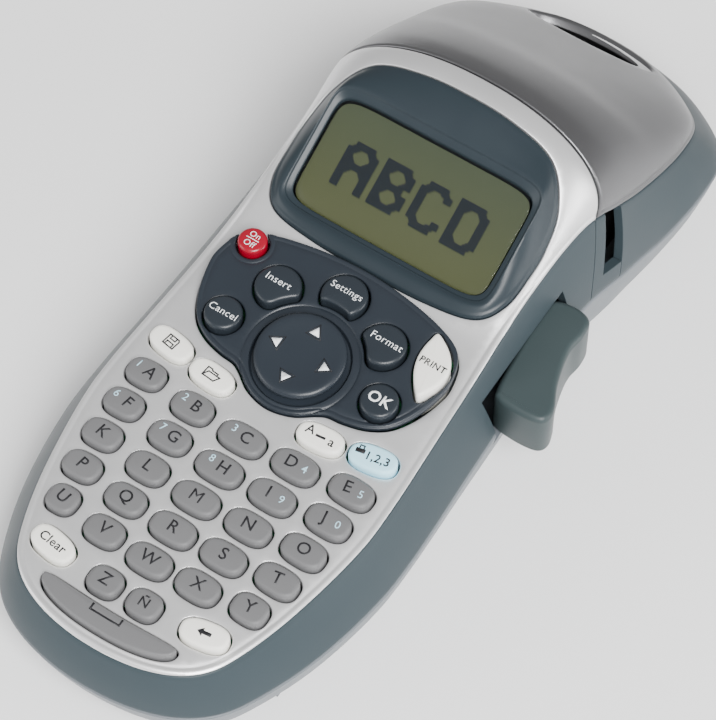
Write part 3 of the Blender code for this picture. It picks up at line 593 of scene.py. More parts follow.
def studio():
    """Camera, pale floor and lamps."""
    unit = 0.865                                       # the camera's own unit, in millimetres
    target = Vector((10.47, 32.72, 0)) * unit
    azimuth, elevation, distance = math.radians(33.06), math.radians(59.95), 773.7 * unit
    out = Vector((math.sin(azimuth) * math.cos(elevation), -math.cos(azimuth) * math.cos(elevation),
                  math.sin(elevation)))
    right = Vector((math.cos(azimuth), math.sin(azimuth), 0))
    turn = Matrix((right, out.cross(right), out)).transposed()
    upright = (Matrix.Rotation(TILT, 3, "X") @ turn).to_4x4()
    eye = KEYPAD @ (target + out * distance)
    camera = bpy.data.cameras.new("camera")
    camera.sensor_width = 36
    camera.lens = 165.8
    seen = bpy.data.objects.new("camera", camera)
    seen.matrix_world = Matrix.Translation(eye) @ upright
    bpy.context.scene.collection.objects.link(seen)
    bpy.context.scene.camera = seen

    reach = 3.0
    floor = bpy.data.objects.new("floor", mesh_from(
        "floor", [(-reach, -reach, 0), (reach, -reach, 0), (reach, reach, 0), (-reach, reach, 0)],
        [(0, 1, 2, 3)]))
    floor.location.z = -0.0003
    bpy.context.scene.collection.objects.link(floor)
    pale = plastic("pale_floor", (0.93, 0.93, 0.93), 0.6, grain=0.0, edge=0, mottling=0.0)
    floor.data.materials.append(pale)

    world = bpy.data.worlds.new("studio")
    world.use_nodes = True
    world.node_tree.nodes["Background"].inputs["Color"].default_value = (1, 1, 1, 1)
    world.node_tree.nodes["Background"].inputs["Strength"].default_value = 0.5
    bpy.context.scene.world = world
    lamps = [("key_light", (0.7, -0.75, 1.1), 0.7, 46.0), ("side_light", (1.2, 0.35, 0.35), 0.6, 9.0),
             ("fill_light", (-0.9, -0.9, 0.5), 0.7, 7.0)]
    for name, place, size, power in lamps:
        light = bpy.data.lights.new(name, "AREA")
        light.size = size
        light.energy = power
        lamp = bpy.data.objects.new(name, light)
        lamp.location = place
        lamp.rotation_euler = Vector(place).to_track_quat("Z", "Y").to_euler()
        bpy.context.scene.collection.objects.link(lamp)


# ---- keys

def key_outline(node):
    """A key's outline, smoothed, read from its foot in the frame."""
    back = KEYPAD.inverted()
    points = [back @ v.co for v in frame["nodes"][node].data.vertices]
    foot = min(p[2] for p in points)
    ring = {(round(p[0], 2), round(p[1], 2)) for p in points if p[2] < foot + 0.05}
    centre = Vector(np.mean(list(ring), axis=0))
    ordered = sorted(ring, key=lambda q: math.atan2(q[1] - centre[1], q[0] - centre[0]))
    top = max(p[2] for p in points)
    return resampled(closed_spline(ordered, 6), 0.35), foot, top, centre


def space_outline():
    """Lens-shaped bar: a nearly straight upper edge and an arched lower edge."""
    half, middle, above, below, bow, count = 15.6, -46.9, 1.5, 3.4, 1.0, 160
    a = 2 * math.pi * (np.arange(count) + 0.5) / count
    c, s = np.cos(a), np.sin(a)
    x = half * np.sign(c) * np.abs(c) ** 0.8
    y = middle + np.where(s > 0, above * np.abs(s) ** 0.5, -below * np.abs(s) ** 0.9)
    return resampled(np.stack([x, y + bow * (x / half) ** 2], 1), 0.3)


KEY_NODES = [n for n in frame["nodes"] if n.startswith("key_")]
OUTLINES = {n: key_outline(n) for n in KEY_NODES}
OUTLINES["key_space"] = (space_outline(), *OUTLINES["key_space"][1:])
STRADDLING = ("key_power",)
CLUSTER = ("key_cancel", "key_ok", "key_insert", "key_format", "key_settings", "key_print")
SLOTS = {s["node"]: s["material_slot"] for s in frame["record"]["subparts"]}
CROWN = 0.12


def key_mesh(node):
    """Rubber key: straight side, rounded shoulder and a faintly crowned top."""
    outline, foot, top, centre = OUTLINES[node]
    middle = np.array(centre)
    fillet = 0.6 if node == "key_space" else 1.0
    rings = [level(outline, foot)]
    for k in range(9):
        a = math.pi / 2 * k / 8
        d = fillet * (1 - math.cos(a)) * 0.9
        rings.append(level(offset(outline, -d - 0.02), top - CROWN - fillet * 0.75 * (1 - math.sin(a))))
    inner = offset(outline, -fillet * 0.9 - 0.02)
    for share in (0.8, 0.6, 0.4, 0.2, 0.04):
        rings.append(level(middle + (inner - middle) * share, top - CROWN * share ** 2))
    return loft(rings, angle=60)


def key_top(node, x, y):
    """Height of a key's crowned top at (x, y)."""
    outline, _, top, centre = OUTLINES[node]
    reach = np.max(np.linalg.norm(outline - np.array(centre), axis=1))
    share = min(1.0, math.hypot(x - centre[0], y - centre[1]) / reach)
    return top - CROWN * share ** 2


def text_mesh(words, size, bold):
    """Flat lettering; a bolder M than 0.004 comes out filled in."""
    curve = bpy.data.curves.new("words", "FONT")
    curve.body = words
    curve.size = size
    curve.offset = bold
    curve.space_character = 1.06
    curve.align_x = "CENTER"
    curve.align_y = "CENTER"
    curve.resolution_u = 4
    holder = bpy.data.objects.new("words", curve)
    bpy.context.scene.collection.objects.link(holder)
    mesh = evaluated(holder)
    bpy.data.objects.remove(holder)
    return mesh


def inked(shapes, height, thickness=0.03):
    """Flat (mesh, x, y, angle) shapes laid on a surface as a thin print. height(x, y) is the surface."""
    bm = bmesh.new()
    for mesh, x, y, angle in shapes:
        mesh.transform(Matrix.Translation((x, y, 0)) @ Matrix.Rotation(angle, 4, "Z"))
        bm.from_mesh(mesh)
    bmesh.ops.remove_doubles(bm, verts=bm.verts, dist=0.002)
    bmesh.ops.triangulate(bm, faces=bm.faces)
    long_edges = [e for e in bm.edges if e.calc_length() > 0.6]
    bmesh.ops.subdivide_edges(bm, edges=long_edges, cuts=2)
    bmesh.ops.triangulate(bm, faces=bm.faces)
    bmesh.ops.recalc_face_normals(bm, faces=bm.faces)
    for face in bm.faces:
        if face.normal.z < 0:
            face.normal_flip()
    raised = bmesh.ops.extrude_face_region(bm, geom=list(bm.faces))
    upper = {v for v in raised["geom"] if isinstance(v, bmesh.types.BMVert)}
    for v in bm.verts:
        v.co.z = height(v.co.x, v.co.y) + (thickness if v in upper else -thickness)
    bmesh.ops.recalc_face_normals(bm, faces=bm.faces)
    made = bpy.data.meshes.new("inked")
    bm.to_mesh(made)
    bm.free()
    return made


def polygon(points):
    """Flat mesh of a polygon, or of several given as a list of lists."""
    groups = points if isinstance(points[0][0], (tuple, list)) else [points]
    verts, faces = [], []
    for group in groups:
        faces.append(range(len(verts), len(verts) + len(group)))
        verts += level(group, 0)
    return mesh_from("polygon", verts, faces)


def bar(x0, y0, x1, y1, width):
    """A straight stroke as a polygon."""
    run = Vector((x1 - x0, y1 - y0)).normalized() * width / 2
    side = Vector((-run[1], run[0]))
    a, b = Vector((x0, y0)) - run, Vector((x1, y1)) + run
    return [tuple(a - side), tuple(b - side), tuple(b + side), tuple(a + side)]


def strokes(path, width):
    """Bars along each of a list of polylines."""
    return [bar(*a, *b, width) for line in path for a, b in zip(line, line[1:])]


FLOPPY = strokes([[(-1.3, -1.2), (-1.3, 1.2), (1.0, 1.2), (1.3, 0.9), (1.3, -1.2), (-1.3, -1.2)],
                  [(-0.7, 1.2), (-0.7, 0.4), (0.6, 0.4), (0.6, 1.2)],
                  [(-0.8, -1.2), (-0.8, -0.3), (0.8, -0.3), (0.8, -1.2)]], 0.3)
FOLDER = strokes([[(-1.6, -1.1), (-1.6, 1.0), (-0.6, 1.0), (-0.3, 0.7), (1.1, 0.7), (1.1, 0.2)],
                  [(-1.6, -1.1), (-0.9, 0.2), (1.9, 0.2), (1.2, -1.1), (-1.6, -1.1)]], 0.3)
SPACE_MARK = strokes([[(-3.4, 0.75), (-3.4, -0.45), (3.4, -0.45), (3.4, 0.75)]], 0.4)
SHACKLE = strokes([[(-0.45, 0), (-0.45, 0.8), (0.45, 0.8), (0.45, 0)]], 0.25)
ARROW = [(-1.5, 0), (-0.3, 0.95), (-0.3, 0.4), (1.5, 0.4), (1.5, -0.4), (-0.3, -0.4), (-0.3, -0.95)]
NUMBERED = dict(a=1, b=2, c=3, d=4, e=5, f=6, g=7, h=8, i=9, j=0)
DIGIT_LEFT = "abcfgh"
LIGHT_ON_DARK = ("power", "cancel", "insert", "settings", "format", "ok")

# What is printed on a key: words or outlines, X and Y from the key's middle, then size and boldness of
# words.
LEGENDS = {
    "n_tilde": [("Ñ", 0, 0, 3.0, 0.03)],
    "clear": [("Clear", 0, 0, 2.7, 0.03)],
    "backspace": [(ARROW, 0, 0)],
    "save": [(FLOPPY, 0, 0)],
    "recall": [(FOLDER, 0, 0)],
    "caps": [("A", -2.5, 0.3, 2.9, 0.02), ("a", 2.6, 0, 2.9, 0.02), (bar(-0.7, 0, 0.9, 0, 0.55), 0, -0.1)],
    "num_lock": [("1,2,3", 1.0, 0, 2.6, 0.03), (bar(-0.5, 0, 0.5, 0, 1.0), -2.9, -0.1), (SHACKLE, -2.9, 0.3)],
    "space": [(SPACE_MARK, 0, 0.1)],
    "cancel": [("Cancel", 0, 0, 2.3, -0.012)],
    "ok": [("OK", 0, 0, 3.4, 0.06)],
    "insert": [("Insert", -0.2, 0.6, 2.4, -0.012)],
    "format": [("Format", 0.2, 0.6, 2.4, -0.012)],
    "settings": [("Settings", 0, 0.6, 2.25, -0.014)],
    "power": [("On", 0, 1.05, 1.9, -0.01), ("Off", 0, -1.25, 1.9, -0.01),
              (bar(-1.4, 0, 1.4, 0, 0.18), 0, 0)],
    "print": [("PRINT", 0.35, 0, 2.1, 0.024)],
}


def legends(node):
    """Prints of a key as (ink, shapes), each shape (flat mesh, x, y, angle)."""
    x, y = OUTLINES[node][3]
    name = node[4:]
    in_rows = -42 < y < 12 and node not in STRADDLING + CLUSTER
    lean = math.atan(0.0072 * x) if in_rows else 0
    if len(name) == 1:
        side = (1 if name in DIGIT_LEFT else -1) if name in NUMBERED else 0
        prints = [(INK_BLACK, [(name.upper(), 0.9 * side, 0.1, 3.7, 0.004 if name == "m" else 0.026)])]
        if side:
            up = 0.8 if side > 0 else 0
            prints.append((INK_BLUE, [(str(NUMBERED[name]), -2.2 * side, up, 2.4, 0.006)]))
    else:
        prints = [(INK_WHITE if name in LIGHT_ON_DARK else INK_BLACK, LEGENDS[name])]
    return [(ink, [(text_mesh(what, *letters) if letters else polygon(what), x + right, y + up, lean)
                   for what, right, up, *letters in marks]) for ink, marks in prints]


def keys():
    finishes = dict(key_grey=KEY_GREY, key_cream=KEY_CREAM, key_blue=KEY_BLUE, key_slate=KEY_SLATE,
                    key_red=KEY_RED)
    for node in KEY_NODES:
        piece(node + "_cap", key_mesh(node), node, finishes[SLOTS[node]], SLOTS[node], node)
        for number, (ink, shapes) in enumerate(legends(node)):
            print_mesh = inked(shapes, lambda px, py: key_top(node, px, py))
            piece(f"{node}_legend_{number}", print_mesh, node, ink, SLOTS[node])


# ---- silver face and cap

def seam_end(side):
    """Y where the leaning seam meets the face's edge, half a gap to either side of it."""
    y = SEAM[0]
    for _ in range(40):
        y = SEAM[0] + side * SEAM_GAP / 2 + SEAM[1] * float(np.interp(y, LEVELS, LOW))
    return y


def seam_line(side, count=150):
    """The seam's edge across the face from right to left, on the unrolled face."""
    reach = girth(seam_end(side))[0]
    a = np.linspace(reach, -reach, count)
    y = np.full(count, float(SEAM[0]))
    for _ in range(40):
        y = SEAM[0] + side * SEAM_GAP / 2 + SEAM[1] * face_point(np.stack([a, y], 1))[:, 2]
    return np.stack([a, y], 1)


def edge_line(low, high):
    """The face's right edge between two heights, on the unrolled face."""
    y = np.unique(np.r_[low, EDGE_Y[(EDGE_Y > low) & (EDGE_Y < high)], high])
    return np.stack([girth(y), y], 1)


def lip(edge):
    """Relief of the silver skin: a narrow raised rim with a fine groove inside it."""
    away = near_line(edge)
    rise, width, fall = 0.12, 1.1, 0.35
    depth, groove_from_edge, groove_width = 0.16, 1.6, 0.28

    def relief(flat):
        d = away(flat)
        groove = depth * np.exp(-((d - groove_from_edge) / groove_width) ** 2)
        return rise * (1 - np.clip((d - width) / fall, 0, 1)) - groove
    return relief


def merged(a, b):
    """Outline round two counterclockwise loops that overlap in one place."""
    return np.vstack([outside_run(a, b), outside_run(b, a)])


def outside_run(a, b, keep=True):
    """The stretch of loop a that lies outside loop b, or inside it."""
    chosen = inside(a, b) != keep
    first = next(i for i in range(len(a)) if chosen[i] and not chosen[i - 1])
    return np.roll(a, -first, 0)[np.roll(chosen, -first)]


def cut_away(a, b):
    """Loop a less what lies inside loop b."""
    return np.vstack([outside_run(a, b), outside_run(b, a, False)[::-1]])


def control_outline():
    half = [(0, 8.7), (5.2, 9.9), (9.2, 12.6), (11.4, 13.7), (14.8, 14.1), (19.3, 15.4), (23.2, 18.0),
            (26.0, 22.4), (27.9, 28.2), (28.3, 33.0), (26.1, 38.8), (20, 41.9), (10, 44.0), (0, 44.7)]
    return counterclockwise(closed_spline(mirrored(half), 12))


def bezel_outline():
    half = [(0, 45.6), (14, 46.0), (24.2, 47.9), (28.3, 53.2), (29.2, 61.2), (29.0, 68), (27.2, 75),
            (21.5, 81.2), (11, 82.9), (0, 83.2)]
    return closed_spline(mirrored(half), 16)


def key_hole(node):
    return resampled(offset(OUTLINES[node][0], HOLE_GAP), 0.45)


def window_outline(size, centre):
    return superellipse(*size, 1.9, 90, centre)


def skin(outer, holes, hole_roll, edge):
    """Silver sheet with a lip along its edge."""
    relief = lip(dense(edge, 0.25))
    return sheet(face_point, outer, holes, 1.25, 0.5, hole_roll, 1.7, relief, (0.9, 1.2, 1.45, 1.7, 2.0))


def silver():
    edge = edge_line(EDGE_Y[0] + 0.02, seam_end(-1))
    outer = resampled(np.vstack([edge, seam_line(-1)[1:-1], left_of(edge)]), 0.6)
    opening = resampled(offset(control_outline(), GAP), 0.4)
    for node in STRADDLING:
        opening = merged(opening, counterclockwise(key_hole(node)))
    holes = [unrolled(key_hole(n)) for n in KEY_NODES if n not in STRADDLING + CLUSTER]
    holes += [unrolled(resampled(opening, 0.45)), unrolled(resampled(offset(bezel_outline(), GAP), 0.6))]
    face = skin(outer, holes, 0.22, np.vstack([left_of(edge), edge]))
    piece("silver_face", face, "housing", SILVER, "silver_face", "face_plate")

    edge = edge_line(seam_end(1), EDGE_Y[-1] - 0.02)
    outer = resampled(np.vstack([edge, left_of(edge), seam_line(1)[-2:0:-1]]), 0.6)
    window = unrolled(window_outline(WINDOW_SIZE, WINDOW))
    cap = skin(outer, [window], 0.9, np.vstack([edge, left_of(edge)]))
    # The cap takes the darker, shaded copy of the silver paint.
    piece("silver_cap", cap, "cover", SHADED_CAP_SILVER, "silver_face", "cover_panel")


def gasket():
    """Dark fin standing in the seam between the face and the cap: painted shade that keeps the gap dark."""
    width, low_depth, high_depth, clear_of_ends = 0.52, 2.4, 0.4, 1.5
    line = seam_line(0, 80)
    line = line[np.abs(line[:, 0]) < girth(seam_end(0))[0] - clear_of_ends]
    middle, normal = surface_frame(face_point, line)
    lean = np.array((0, SEAM[1], 1)) / math.hypot(1, SEAM[1])
    half = np.array((0, width / 2, 0))
    rings = []
    for p, n in zip(middle, normal):
        high, low = (p - lean * depth / (n @ lean) for depth in (high_depth, low_depth))
        rings.append([high - half, high + half, low + half, low - half])
    piece("seam_shade_fin", loft(rings), "housing", BLACK, "cassette_black")


def window_dish():
    """Sunken rim of the viewing window."""
    outer = window_outline(WINDOW_SIZE, WINDOW)
    inner = window_outline((WINDOW_SIZE[0] - 5.0, WINDOW_SIZE[1] - 3.2), (WINDOW[0] - 1.2, WINDOW[1] + 0.5))
    levels = [(0.0, 0.7), (0.1, 0.95), (0.5, 1.5), (0.9, 1.9), (1.0, 2.1), (1.0, 2.8), (0.0, 2.8)]
    rings = []
    for share, depth in levels:
        loop = outer * (1 - share) + inner * share
        rings.append([(x, y, z - depth) for (x, y), z in zip(loop, face_z(loop[:, 0], loop[:, 1]))])
    piece("window_dish", loft(rings, capped=False, angle=60), "cover", RIM, "silver_face")


# ---- control plate and navigation disc

def plate_point(flat):
    return np.stack([flat[:, 0], flat[:, 1], plate_z(flat[:, 1])], 1)


def over_plate(loop, rise):
    return plate_point(loop) + (0, 0, rise)


def control():
    """Control plate with its holes and grooves, and the navigation disc on its boss."""
    outer = resampled(control_outline(), 0.4)
    for node in STRADDLING:
        outer = cut_away(outer, counterclockwise(key_hole(node)))
    outer = resampled(outer, 0.4)
    holes = [key_hole(n) for n in CLUSTER] + [ring_of(NAV, 4.6, 40)]
    away = near_line(dense(np.vstack([outer, outer[:1]]), 0.2))

    well_depth, well_play, well_wall = 0.9, 1.0, 0.35
    ring_from_disc, line_from_edge, groove_width = 2.6, 1.1, 0.2

    def relief(flat):
        r = np.hypot(flat[:, 0] - NAV[0], flat[:, 1] - NAV[1])
        well = -well_depth * np.clip((NAV_R + well_play - r) / well_wall, 0, 1)
        ring = -0.2 * np.exp(-((r - NAV_R - ring_from_disc) / groove_width) ** 2)
        line = -0.16 * np.exp(-((away(flat) - line_from_edge) / groove_width) ** 2)
        return well + ring + line

    rings = [ring_of(NAV, NAV_R + d, 120) for d in (0.6, 0.8, 1.0, 1.2, 2.3, 2.45, 2.6, 2.75, 2.9)]
    mesh = sheet(plate_point, outer, holes, 1.0, 0.35, 0.3, 1.6, relief, (0.8, 0.95, 1.1, 1.25, 1.4), rings)
    piece("cluster_plate", mesh, "housing", PLATE, "slate_plate", "control_plate")

    boss = [level(ring_of(NAV, BOSS_R, 40), BOSS_FOOT)]
    boss += [over_plate(ring_of(NAV, r, 40), rise) for r, rise in ((BOSS_R, 0.5), (BOSS_R - 0.3, 0.55))]
    piece("disc_boss", loft(boss), "nav_boss", RUBBER, "black_rubber", "nav_boss")

    profile = [(3.0, 0.9), (NAV_R - 0.4, 0.85), (NAV_R - 0.08, 1.0), (NAV_R, 1.3), (NAV_R, 1.6),
               (NAV_R - 0.12, 1.95), (NAV_R - 0.45, 2.22), (NAV_R - 0.95, 2.35), (NAV_R - 1.5, 2.36),
               (NAV_R - 2.6, 2.22), (NAV_R - 4.0, 2.06), (NAV_R - 6.0, 1.96), (0.4, 1.92)]

    def disc_top(x, y):
        r = math.hypot(x - NAV[0], y - NAV[1])
        upper = [p for p in profile[::-1] if p[0] < NAV_R - 0.4 and p[1] > 1.2]
        return plate_z(y) + float(np.interp(r, *zip(*upper)))

    rings = [over_plate(ring_of(NAV, r, 96), rise) for r, rise in profile]
    piece("disc", loft(rings, angle=60), "nav_disc", PLATE, "slate_plate", "nav_disc")
    arrow_from_middle = 5.9
    for name, direction in (("up", 90), ("left", 180), ("down", 270), ("right", 0)):
        turn = math.radians(direction)
        place = (NAV[0] + arrow_from_middle * math.cos(turn), NAV[1] + arrow_from_middle * math.sin(turn))
        arrow = polygon([(-0.85, -1.15), (1.05, 0), (-0.85, 1.15)])
        # The thin black ring round each arrow is painted shade, drawn in place of a groove.
        ring = polygon(strokes([[(-1.3, -1.75), (1.65, 0), (-1.3, 1.75), (-1.3, -1.75)]], 0.16))
        parts = (("arrow", arrow, 0.03, INK_WHITE), ("groove", ring, 0.02, INK_BLACK))
        for kind, shape, thickness, ink in parts:
            mesh = inked([(shape, *place, turn)], disc_top, thickness)
            piece(f"disc_{kind}_{name}", mesh, "nav_disc", ink, "slate_plate")


# ---- display

LCD_DROP = 2.1
WORD = "ABCD"
DOT = 0.47
DOT_RISE = 0.93 * DOT
DOT_GAP = 0.05
ADVANCE = 19                      # dots from one letter to the next


def window_loop(grow_by, drop):
    """Rounded rectangle on the display's slope, with as many points as the bezel's outline."""
    count = len(bezel_outline())
    middle = (DISPLAY_Y[0] + DISPLAY_Y[1]) / 2
    half_y = (DISPLAY_Y[1] - DISPLAY_Y[0]) / 2 + grow_by
    half_x = FRAME_HALF + grow_by
    a = 2 * math.pi * np.arange(count) / count - math.pi / 2
    c, s = np.cos(a), np.sin(a)
    reach = (np.abs(c) ** 9 + np.abs(s) ** 9) ** (-1 / 9)
    x, y = half_x * c * reach, middle + half_y * s * reach
    return np.stack([x, y, display_z(y) - drop], 1)


GLYPHS = {
    "A": ("01110", "10001", "10001", "11111", "10001", "10001", "10001"),
    "B": ("11110", "10001", "10001", "11110", "10001", "10001", "11110"),
    "C": ("01110", "10001", "10000", "10000", "10000", "10001", "01110"),
    "D": ("11110", "10001", "10001", "10001", "10001", "10001", "11110"),
}


def enlarged(rows):
    """Dot pattern three times as large with its stairs smoothed."""
    grid = np.pad(np.array([[int(c) for c in row] for row in rows]), 1)
    high, wide = grid.shape[0] - 2, grid.shape[1] - 2
    big = np.zeros((3 * high, 3 * wide), int)
    for j in range(high):
        for i in range(wide):
            a, b, c, d, e, f, g, h, k = grid[j:j + 3, i:i + 3].ravel()
            cell = [e] * 9
            if d != f and b != h:
                cell[0] = d if d == b else e
                cell[2] = f if b == f else e
                cell[6] = d if d == h else e
                cell[8] = f if h == f else e
                cell[1] = b if (d == b and e != c) or (b == f and e != a) else e
                cell[3] = d if (d == b and e != g) or (d == h and e != a) else e
                cell[5] = f if (b == f and e != k) or (h == f and e != c) else e
                cell[7] = h if (d == h and e != k) or (h == f and e != g) else e
            big[3 * j:3 * j + 3, 3 * i:3 * i + 3] = np.array(cell).reshape(3, 3)
    return big


def thickened(pattern):
    """The pattern with its strokes one dot wider to the right."""
    wide = np.pad(pattern, ((0, 0), (0, 1)))
    return wide | np.roll(wide, 1, 1)


def dots(shift):
    """Squares of a dot-matrix word in the middle of the display."""
    found = []
    wide = ADVANCE * len(WORD) - 2
    middle = (DISPLAY_Y[0] + DISPLAY_Y[1]) / 2
    for number, letter in enumerate(WORD):
        pattern = enlarged(GLYPHS[letter])
        if letter in "BD":                             # these keep a straight back
            pattern[:, :3] = 1
        pattern = thickened(pattern)
        high = pattern.shape[0]
        for j, i in zip(*np.nonzero(pattern)):
            x = (number * ADVANCE + i - wide / 2) * DOT + shift[0]
            y = middle + (high / 2 - j) * DOT_RISE + shift[1]
            far, low = x + DOT - DOT_GAP, y - DOT_RISE + DOT_GAP
            found.append([(x, low), (far, low), (far, y), (x, y)])
    return found


def display():
    """Glossy bezel that slopes down to the window, the clear pane and the panel with its word."""
    outline = bezel_outline()
    fillet = 0.7
    rings = [[(x, y, face_z(x, y) - 1.6) for x, y in outline]]
    for k in range(6):
        a = math.pi / 2 * k / 5
        ring = offset(outline, -fillet * (1 - math.cos(a)))
        rings.append([(x, y, face_z(x, y) + 0.5 - fillet * (1 - math.sin(a))) for x, y in ring])
    start = np.array(rings[-1])
    goal = window_loop(1.5, 0)
    for share in np.linspace(0, 1, 10)[1:]:
        bulge = 0.45 * math.sin(math.pi * share)
        rings.append(start + (goal - start) * share + (0, 0, bulge))
    for grow_by, drop in ((1.38, 0.04), (1.28, 0.14), (1.22, 0.3), (1.16, 0.42), (1.05, 0.5), (0.9, 0.55),
                          (0.25, 0.95), (0.08, 1.05), (0, 1.2), (0, LCD_DROP - 0.02), (0.9, LCD_DROP + 0.6)):
        rings.append(window_loop(grow_by, drop))
    bezel = loft(rings, capped=False, angle=60)
    piece("bezel_frame", bezel, "housing", BEZEL, "gloss_bezel", "display_bezel")
    pane = [window_loop(-GAP, 1.7), window_loop(-GAP, 1.25), window_loop(-GAP - 0.1, 1.2)]
    piece("display_pane", loft(pane), "housing", LENS, "clear_lens", "display_lens")
    glass = [window_loop(-0.4, 6.0), window_loop(-0.4, LCD_DROP + 0.05), window_loop(-0.45, LCD_DROP)]
    piece("lcd_glass_panel", loft(glass), "housing", LCD, "lcd_glass", "lcd_module")

    for name, ink, shift, lift in (("lcd_shadow", LCD_SHADE, (0.22, -0.2), 0.012),
                                   ("lcd_text", LCD_INK, (0, 0), 0.03)):
        squares = dots(shift)
        verts = [(x, y, display_z(y) - LCD_DROP + lift) for square in squares for x, y in square]
        faces = [range(4 * i, 4 * i + 4) for i in range(len(squares))]
        piece(name, mesh_from(name, verts, faces), "housing", ink, "lcd_glass")


# ---- casings

def closed_ring(half, heights):
    """Close a half outline with its mirror image and lean it with the sway."""
    right = [(p[0], p[1], z) for p, z in zip(half, heights)]
    left = [(-x, y, z) for x, y, z in reversed(right[1:-1])]
    return [(x + float(np.interp(y, LEVELS, SWAYS)), y, z) for x, y, z in right + left]


EDGE_TOP = [along(EDGE_Z, p[1]) - GAP for p in EDGE]
PARTING_TOP = [along(PARTING_Z, p[1]) for p in HALF]
BAND_LEVELS = ([(0, 0.45), (0.004, 0.2), (0.012, 0.06), (0.03, 0)] + [(k / 10, 0) for k in range(1, 10)]
               + [(0.95, 0.02), (0.975, 0.08), (0.99, 0.2), (1.0, 0.4)])


def band_ring(share, tuck, inset=0.0):
    """Level of the side band: share of the way down, moved in by the rounding at its edges."""
    bulge = 0.44 * math.sin(math.pi * share)
    half = half_outline(lambda y: along(EDGE_INSET, y) * (1 - share) - bulge + inset + tuck)
    heights = [top + (low + GAP / 2 - top) * share for top, low in zip(EDGE_TOP, PARTING_TOP)]
    return closed_ring(half, heights)


def band():
    outer = [band_ring(share, tuck) for share, tuck in BAND_LEVELS]
    inner = [band_ring(share, 0, WALL) for share in (1.0, 0.45, 0.0)]
    return loft(outer + inner, capped=False)


def split_block(behind, left, right):
    """Big block on one side of a plane across the product, Y = first + second * Z on either side."""
    reach, far = 120, 260
    sign = 1 if behind else -1
    rings = []
    for x, (plane, slope) in ((-reach, left), (-1, left), (1, right), (reach, right)):
        low, high = (plane + slope * z + sign * GAP / 2 for z in (-reach, reach))
        rings.append([(x, low, -reach), (x, sign * far, -reach), (x, sign * far, reach), (x, high, reach)])
    return loft(rings)


def slab(corners, xs):
    """Block with a side view of (Y, Z) corners between two X values."""
    return loft([[(x, y, z) for y, z in corners] for x in xs])


def seam_crease():
    """Thin blade that scores the right wall in line with the seam."""
    path = [(32.05, 2.6), (60, 2.6), (60, -18.6), (37.55, -18.6), (34.95, -7.0)]
    return loft([[(x, SEAM[0] + SEAM[1] * z + side, z) for x, z in path] for side in (-0.13, 0.13)])


def rear_ring(share, inset, lift=0.0):
    half = half_outline(inset)
    heights = []
    for p, low in zip(half, PARTING_TOP):
        top, bottom = low - GAP / 2, back_z(p[1]) + lift
        heights.append(top + (bottom - top) * share)
    return closed_ring(half, heights)


def rear_levels():
    """Levels of the rear housing, smoothed between the driving ones."""
    levels = [(0, 0.35), (0.01, 0.15), (0.03, 0.05)]
    driving = [Vector(level) for level in REAR_LEVELS[:1] + REAR_LEVELS + REAR_LEVELS[-1:]]
    for i in range(len(REAR_LEVELS) - 1):
        for k in range(1, 5):
            share, inset = catmull(*driving[i:i + 4], k / 4)
            levels.append((min(max(share, 0.031), 1.0), inset))
    levels[-1] = REAR_LEVELS[-1]
    inwards = 0.003                                    # keeps the finer outline inside the coarser one
    return [(share, inset + inwards) for share, inset in levels]


def on_table(mesh):
    """Bring a mesh made upright on the table into the keypad frame."""
    mesh.transform(KEYPAD.inverted() @ TABLE)
    return mesh


def label_guide():
    """Round bar just inside the label exit, leaning with it."""
    lean = (SLOT[3][0] - SLOT[0][0]) / (SLOT[3][1] - SLOT[0][1])
    from_side, behind_edge = 31.8, 3.0
    guide = []
    for z, r in ((-15.0, 0.9), (-14.6, 1.2), (-5.9, 1.2), (-5.5, 0.9)):
        y = SLOT[0][0] + lean * (z - SLOT[0][1]) + behind_edge
        guide.append(level(ring_of((from_side, y), r, 32), z))
    piece("label_guide", loft(guide), "housing", SIDE, "grey_green_housing")


def bulkhead():
    """Wall across the head behind the display, narrowing at its left end."""
    low, high, foot = 76.0, 77.8, -20.5
    left, right, left_end = -31.5, 23.5, -35.3
    rings = [[(left_end, y, z) for y, z in ((low, -15.6), (high, -15.6), (high, -13.0), (low, -13.0))]]
    for x in np.linspace(left, right, 24):
        tops = [float(face_z(x, y)) - WALL - 2.6 - 2.5 * (x / left) ** 4 for y in (low, high)]
        rings.append([(x, low, foot), (x, high, foot), (x, high, tops[1]), (x, low, tops[0])])
    piece("head_bulkhead", loft(rings), "housing", SIDE, "grey_green_housing")


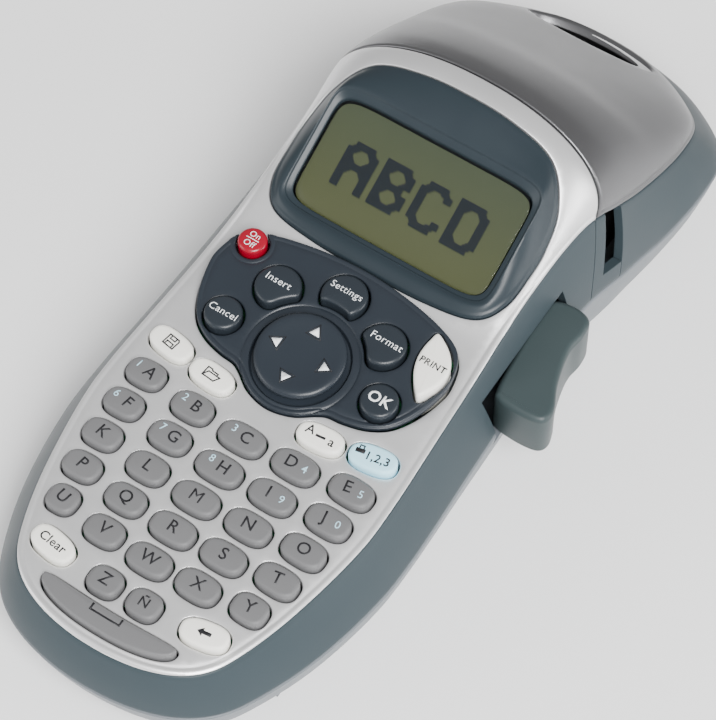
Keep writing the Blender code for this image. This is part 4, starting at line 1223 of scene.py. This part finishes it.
def rear():
    """Rear housing with its battery bay, the door that slides in it and two axle posts."""
    outer = [rear_ring(share, inset) for share, inset in reversed(rear_levels())]
    inner = [rear_ring(share, inset + WALL, WALL) for share, inset in REAR_LEVELS]
    inner.append(rear_ring(1.0, REAR_LEVELS[-1][1] + WALL / 2, WALL))
    shell = loft(outer + inner)
    side, tail = BAY_HALF + 2.8, BAY_Y[0] - 1.5
    block = on_table(box((-side, tail, 1.0), (side, BAY_Y[1] + 4.5, BAY_Z[1] + 1.2)))
    bay = on_table(box((-BAY_HALF, BAY_Y[0], UNDER_TABLE), (BAY_HALF, BAY_Y[1], BAY_Z[1])))
    side = BAY_HALF + 1.3
    track = on_table(box((-side, PAST_TAIL, UNDER_TABLE), (side, BAY_Y[1] + 3, DOOR_THICK + GAP)))
    steps = [(block, "UNION"), (box(*POCKET), "DIFFERENCE"), (bay, "DIFFERENCE"), (track, "DIFFERENCE")]
    piece("rear_shell", combined(shell, steps), "housing", REAR, "rear_grey", "rear_housing")
    for name, centre, top in (("roller_post", PLATEN, -8.0), ("gear_post", DRIVE, -25.5)):
        heights = ((POST_R, back_z(centre[1]) + 0.5), (POST_R, top - 0.3), (POST_R - 0.3, top))
        post = [level(ring_of(centre, r, 32), z) for r, z in heights]
        piece(name, loft(post), "housing", REAR, "rear_grey")
    solid = loft([rear_ring(share, inset) for share, inset in rear_levels()])
    side = BAY_HALF + 1
    plate = on_table(box((-side, PAST_TAIL, 0.15), (side, BAY_Y[1] + 2.7, DOOR_THICK)))
    door = combined(solid, [(plate, "INTERSECT")])
    piece("sliding_door", door, "battery_door", REAR, "rear_grey", "battery_door")


def casings():
    steps = [(split_block(False, *WALL_SPLIT), "INTERSECT"), (slab(SLOT, (20.0, 60.0)), "DIFFERENCE"),
             (box(*POCKET), "DIFFERENCE"), (seam_crease(), "DIFFERENCE")]
    piece("side_band", combined(band(), steps), "housing", SIDE, "grey_green_housing", "front_housing")
    label_guide()
    bulkhead()
    walls = combined(band(), [(split_block(True, *WALL_SPLIT), "INTERSECT")])
    piece("cover_walls", walls, "cover", SIDE, "grey_green_housing", "cassette_cover")
    rear()


# ---- lever

def lever():
    """Waisted paddle, more rounded at its top than at its foot."""
    plan = resampled(counterclockwise(closed_spline(LEVER_PLAN, 10)), 0.4)
    low, high = LEVER_Z
    low_fillet, high_fillet, inwards = 0.8, 1.3, 0.06
    quarter = np.linspace(0, math.pi / 2, 9)
    profile = [(low_fillet * (1 - math.sin(a)), low + low_fillet * (1 - math.cos(a))) for a in quarter]
    profile += [(high_fillet * (1 - math.cos(a)), high - high_fillet * (1 - math.sin(a))) for a in quarter]
    rings = [level(offset(plan, -inset - inwards), z) for inset, z in profile]
    piece("lever_paddle", loft(rings, angle=60), "cutter_lever", LEVER, "grey_green_housing", "cutter_lever")


def insides():
    """Smoothed copies of the CAD nodes inside the casing."""
    fixed = (("main_board", BOARD), ("tape_cassette", BLACK), ("print_head", STEEL))
    moving = (("platen_roller", RUBBER), ("drive_gear", ACETAL), ("cutter_blade", STEEL))
    for node, finish in fixed + moving:
        body = "housing" if (node, finish) in fixed else node
        mesh = frame["nodes"][node].data.copy()
        with edited(mesh) as bm:
            bmesh.ops.remove_doubles(bm, verts=bm.verts, dist=1e-6)
        piece(node + "_shape", smoothed(mesh, 32), body, finish, SLOTS[node], node, place=Matrix())


for build in (studio, keys, silver, gasket, window_dish, control, display, casings, lever, insides):
    build()
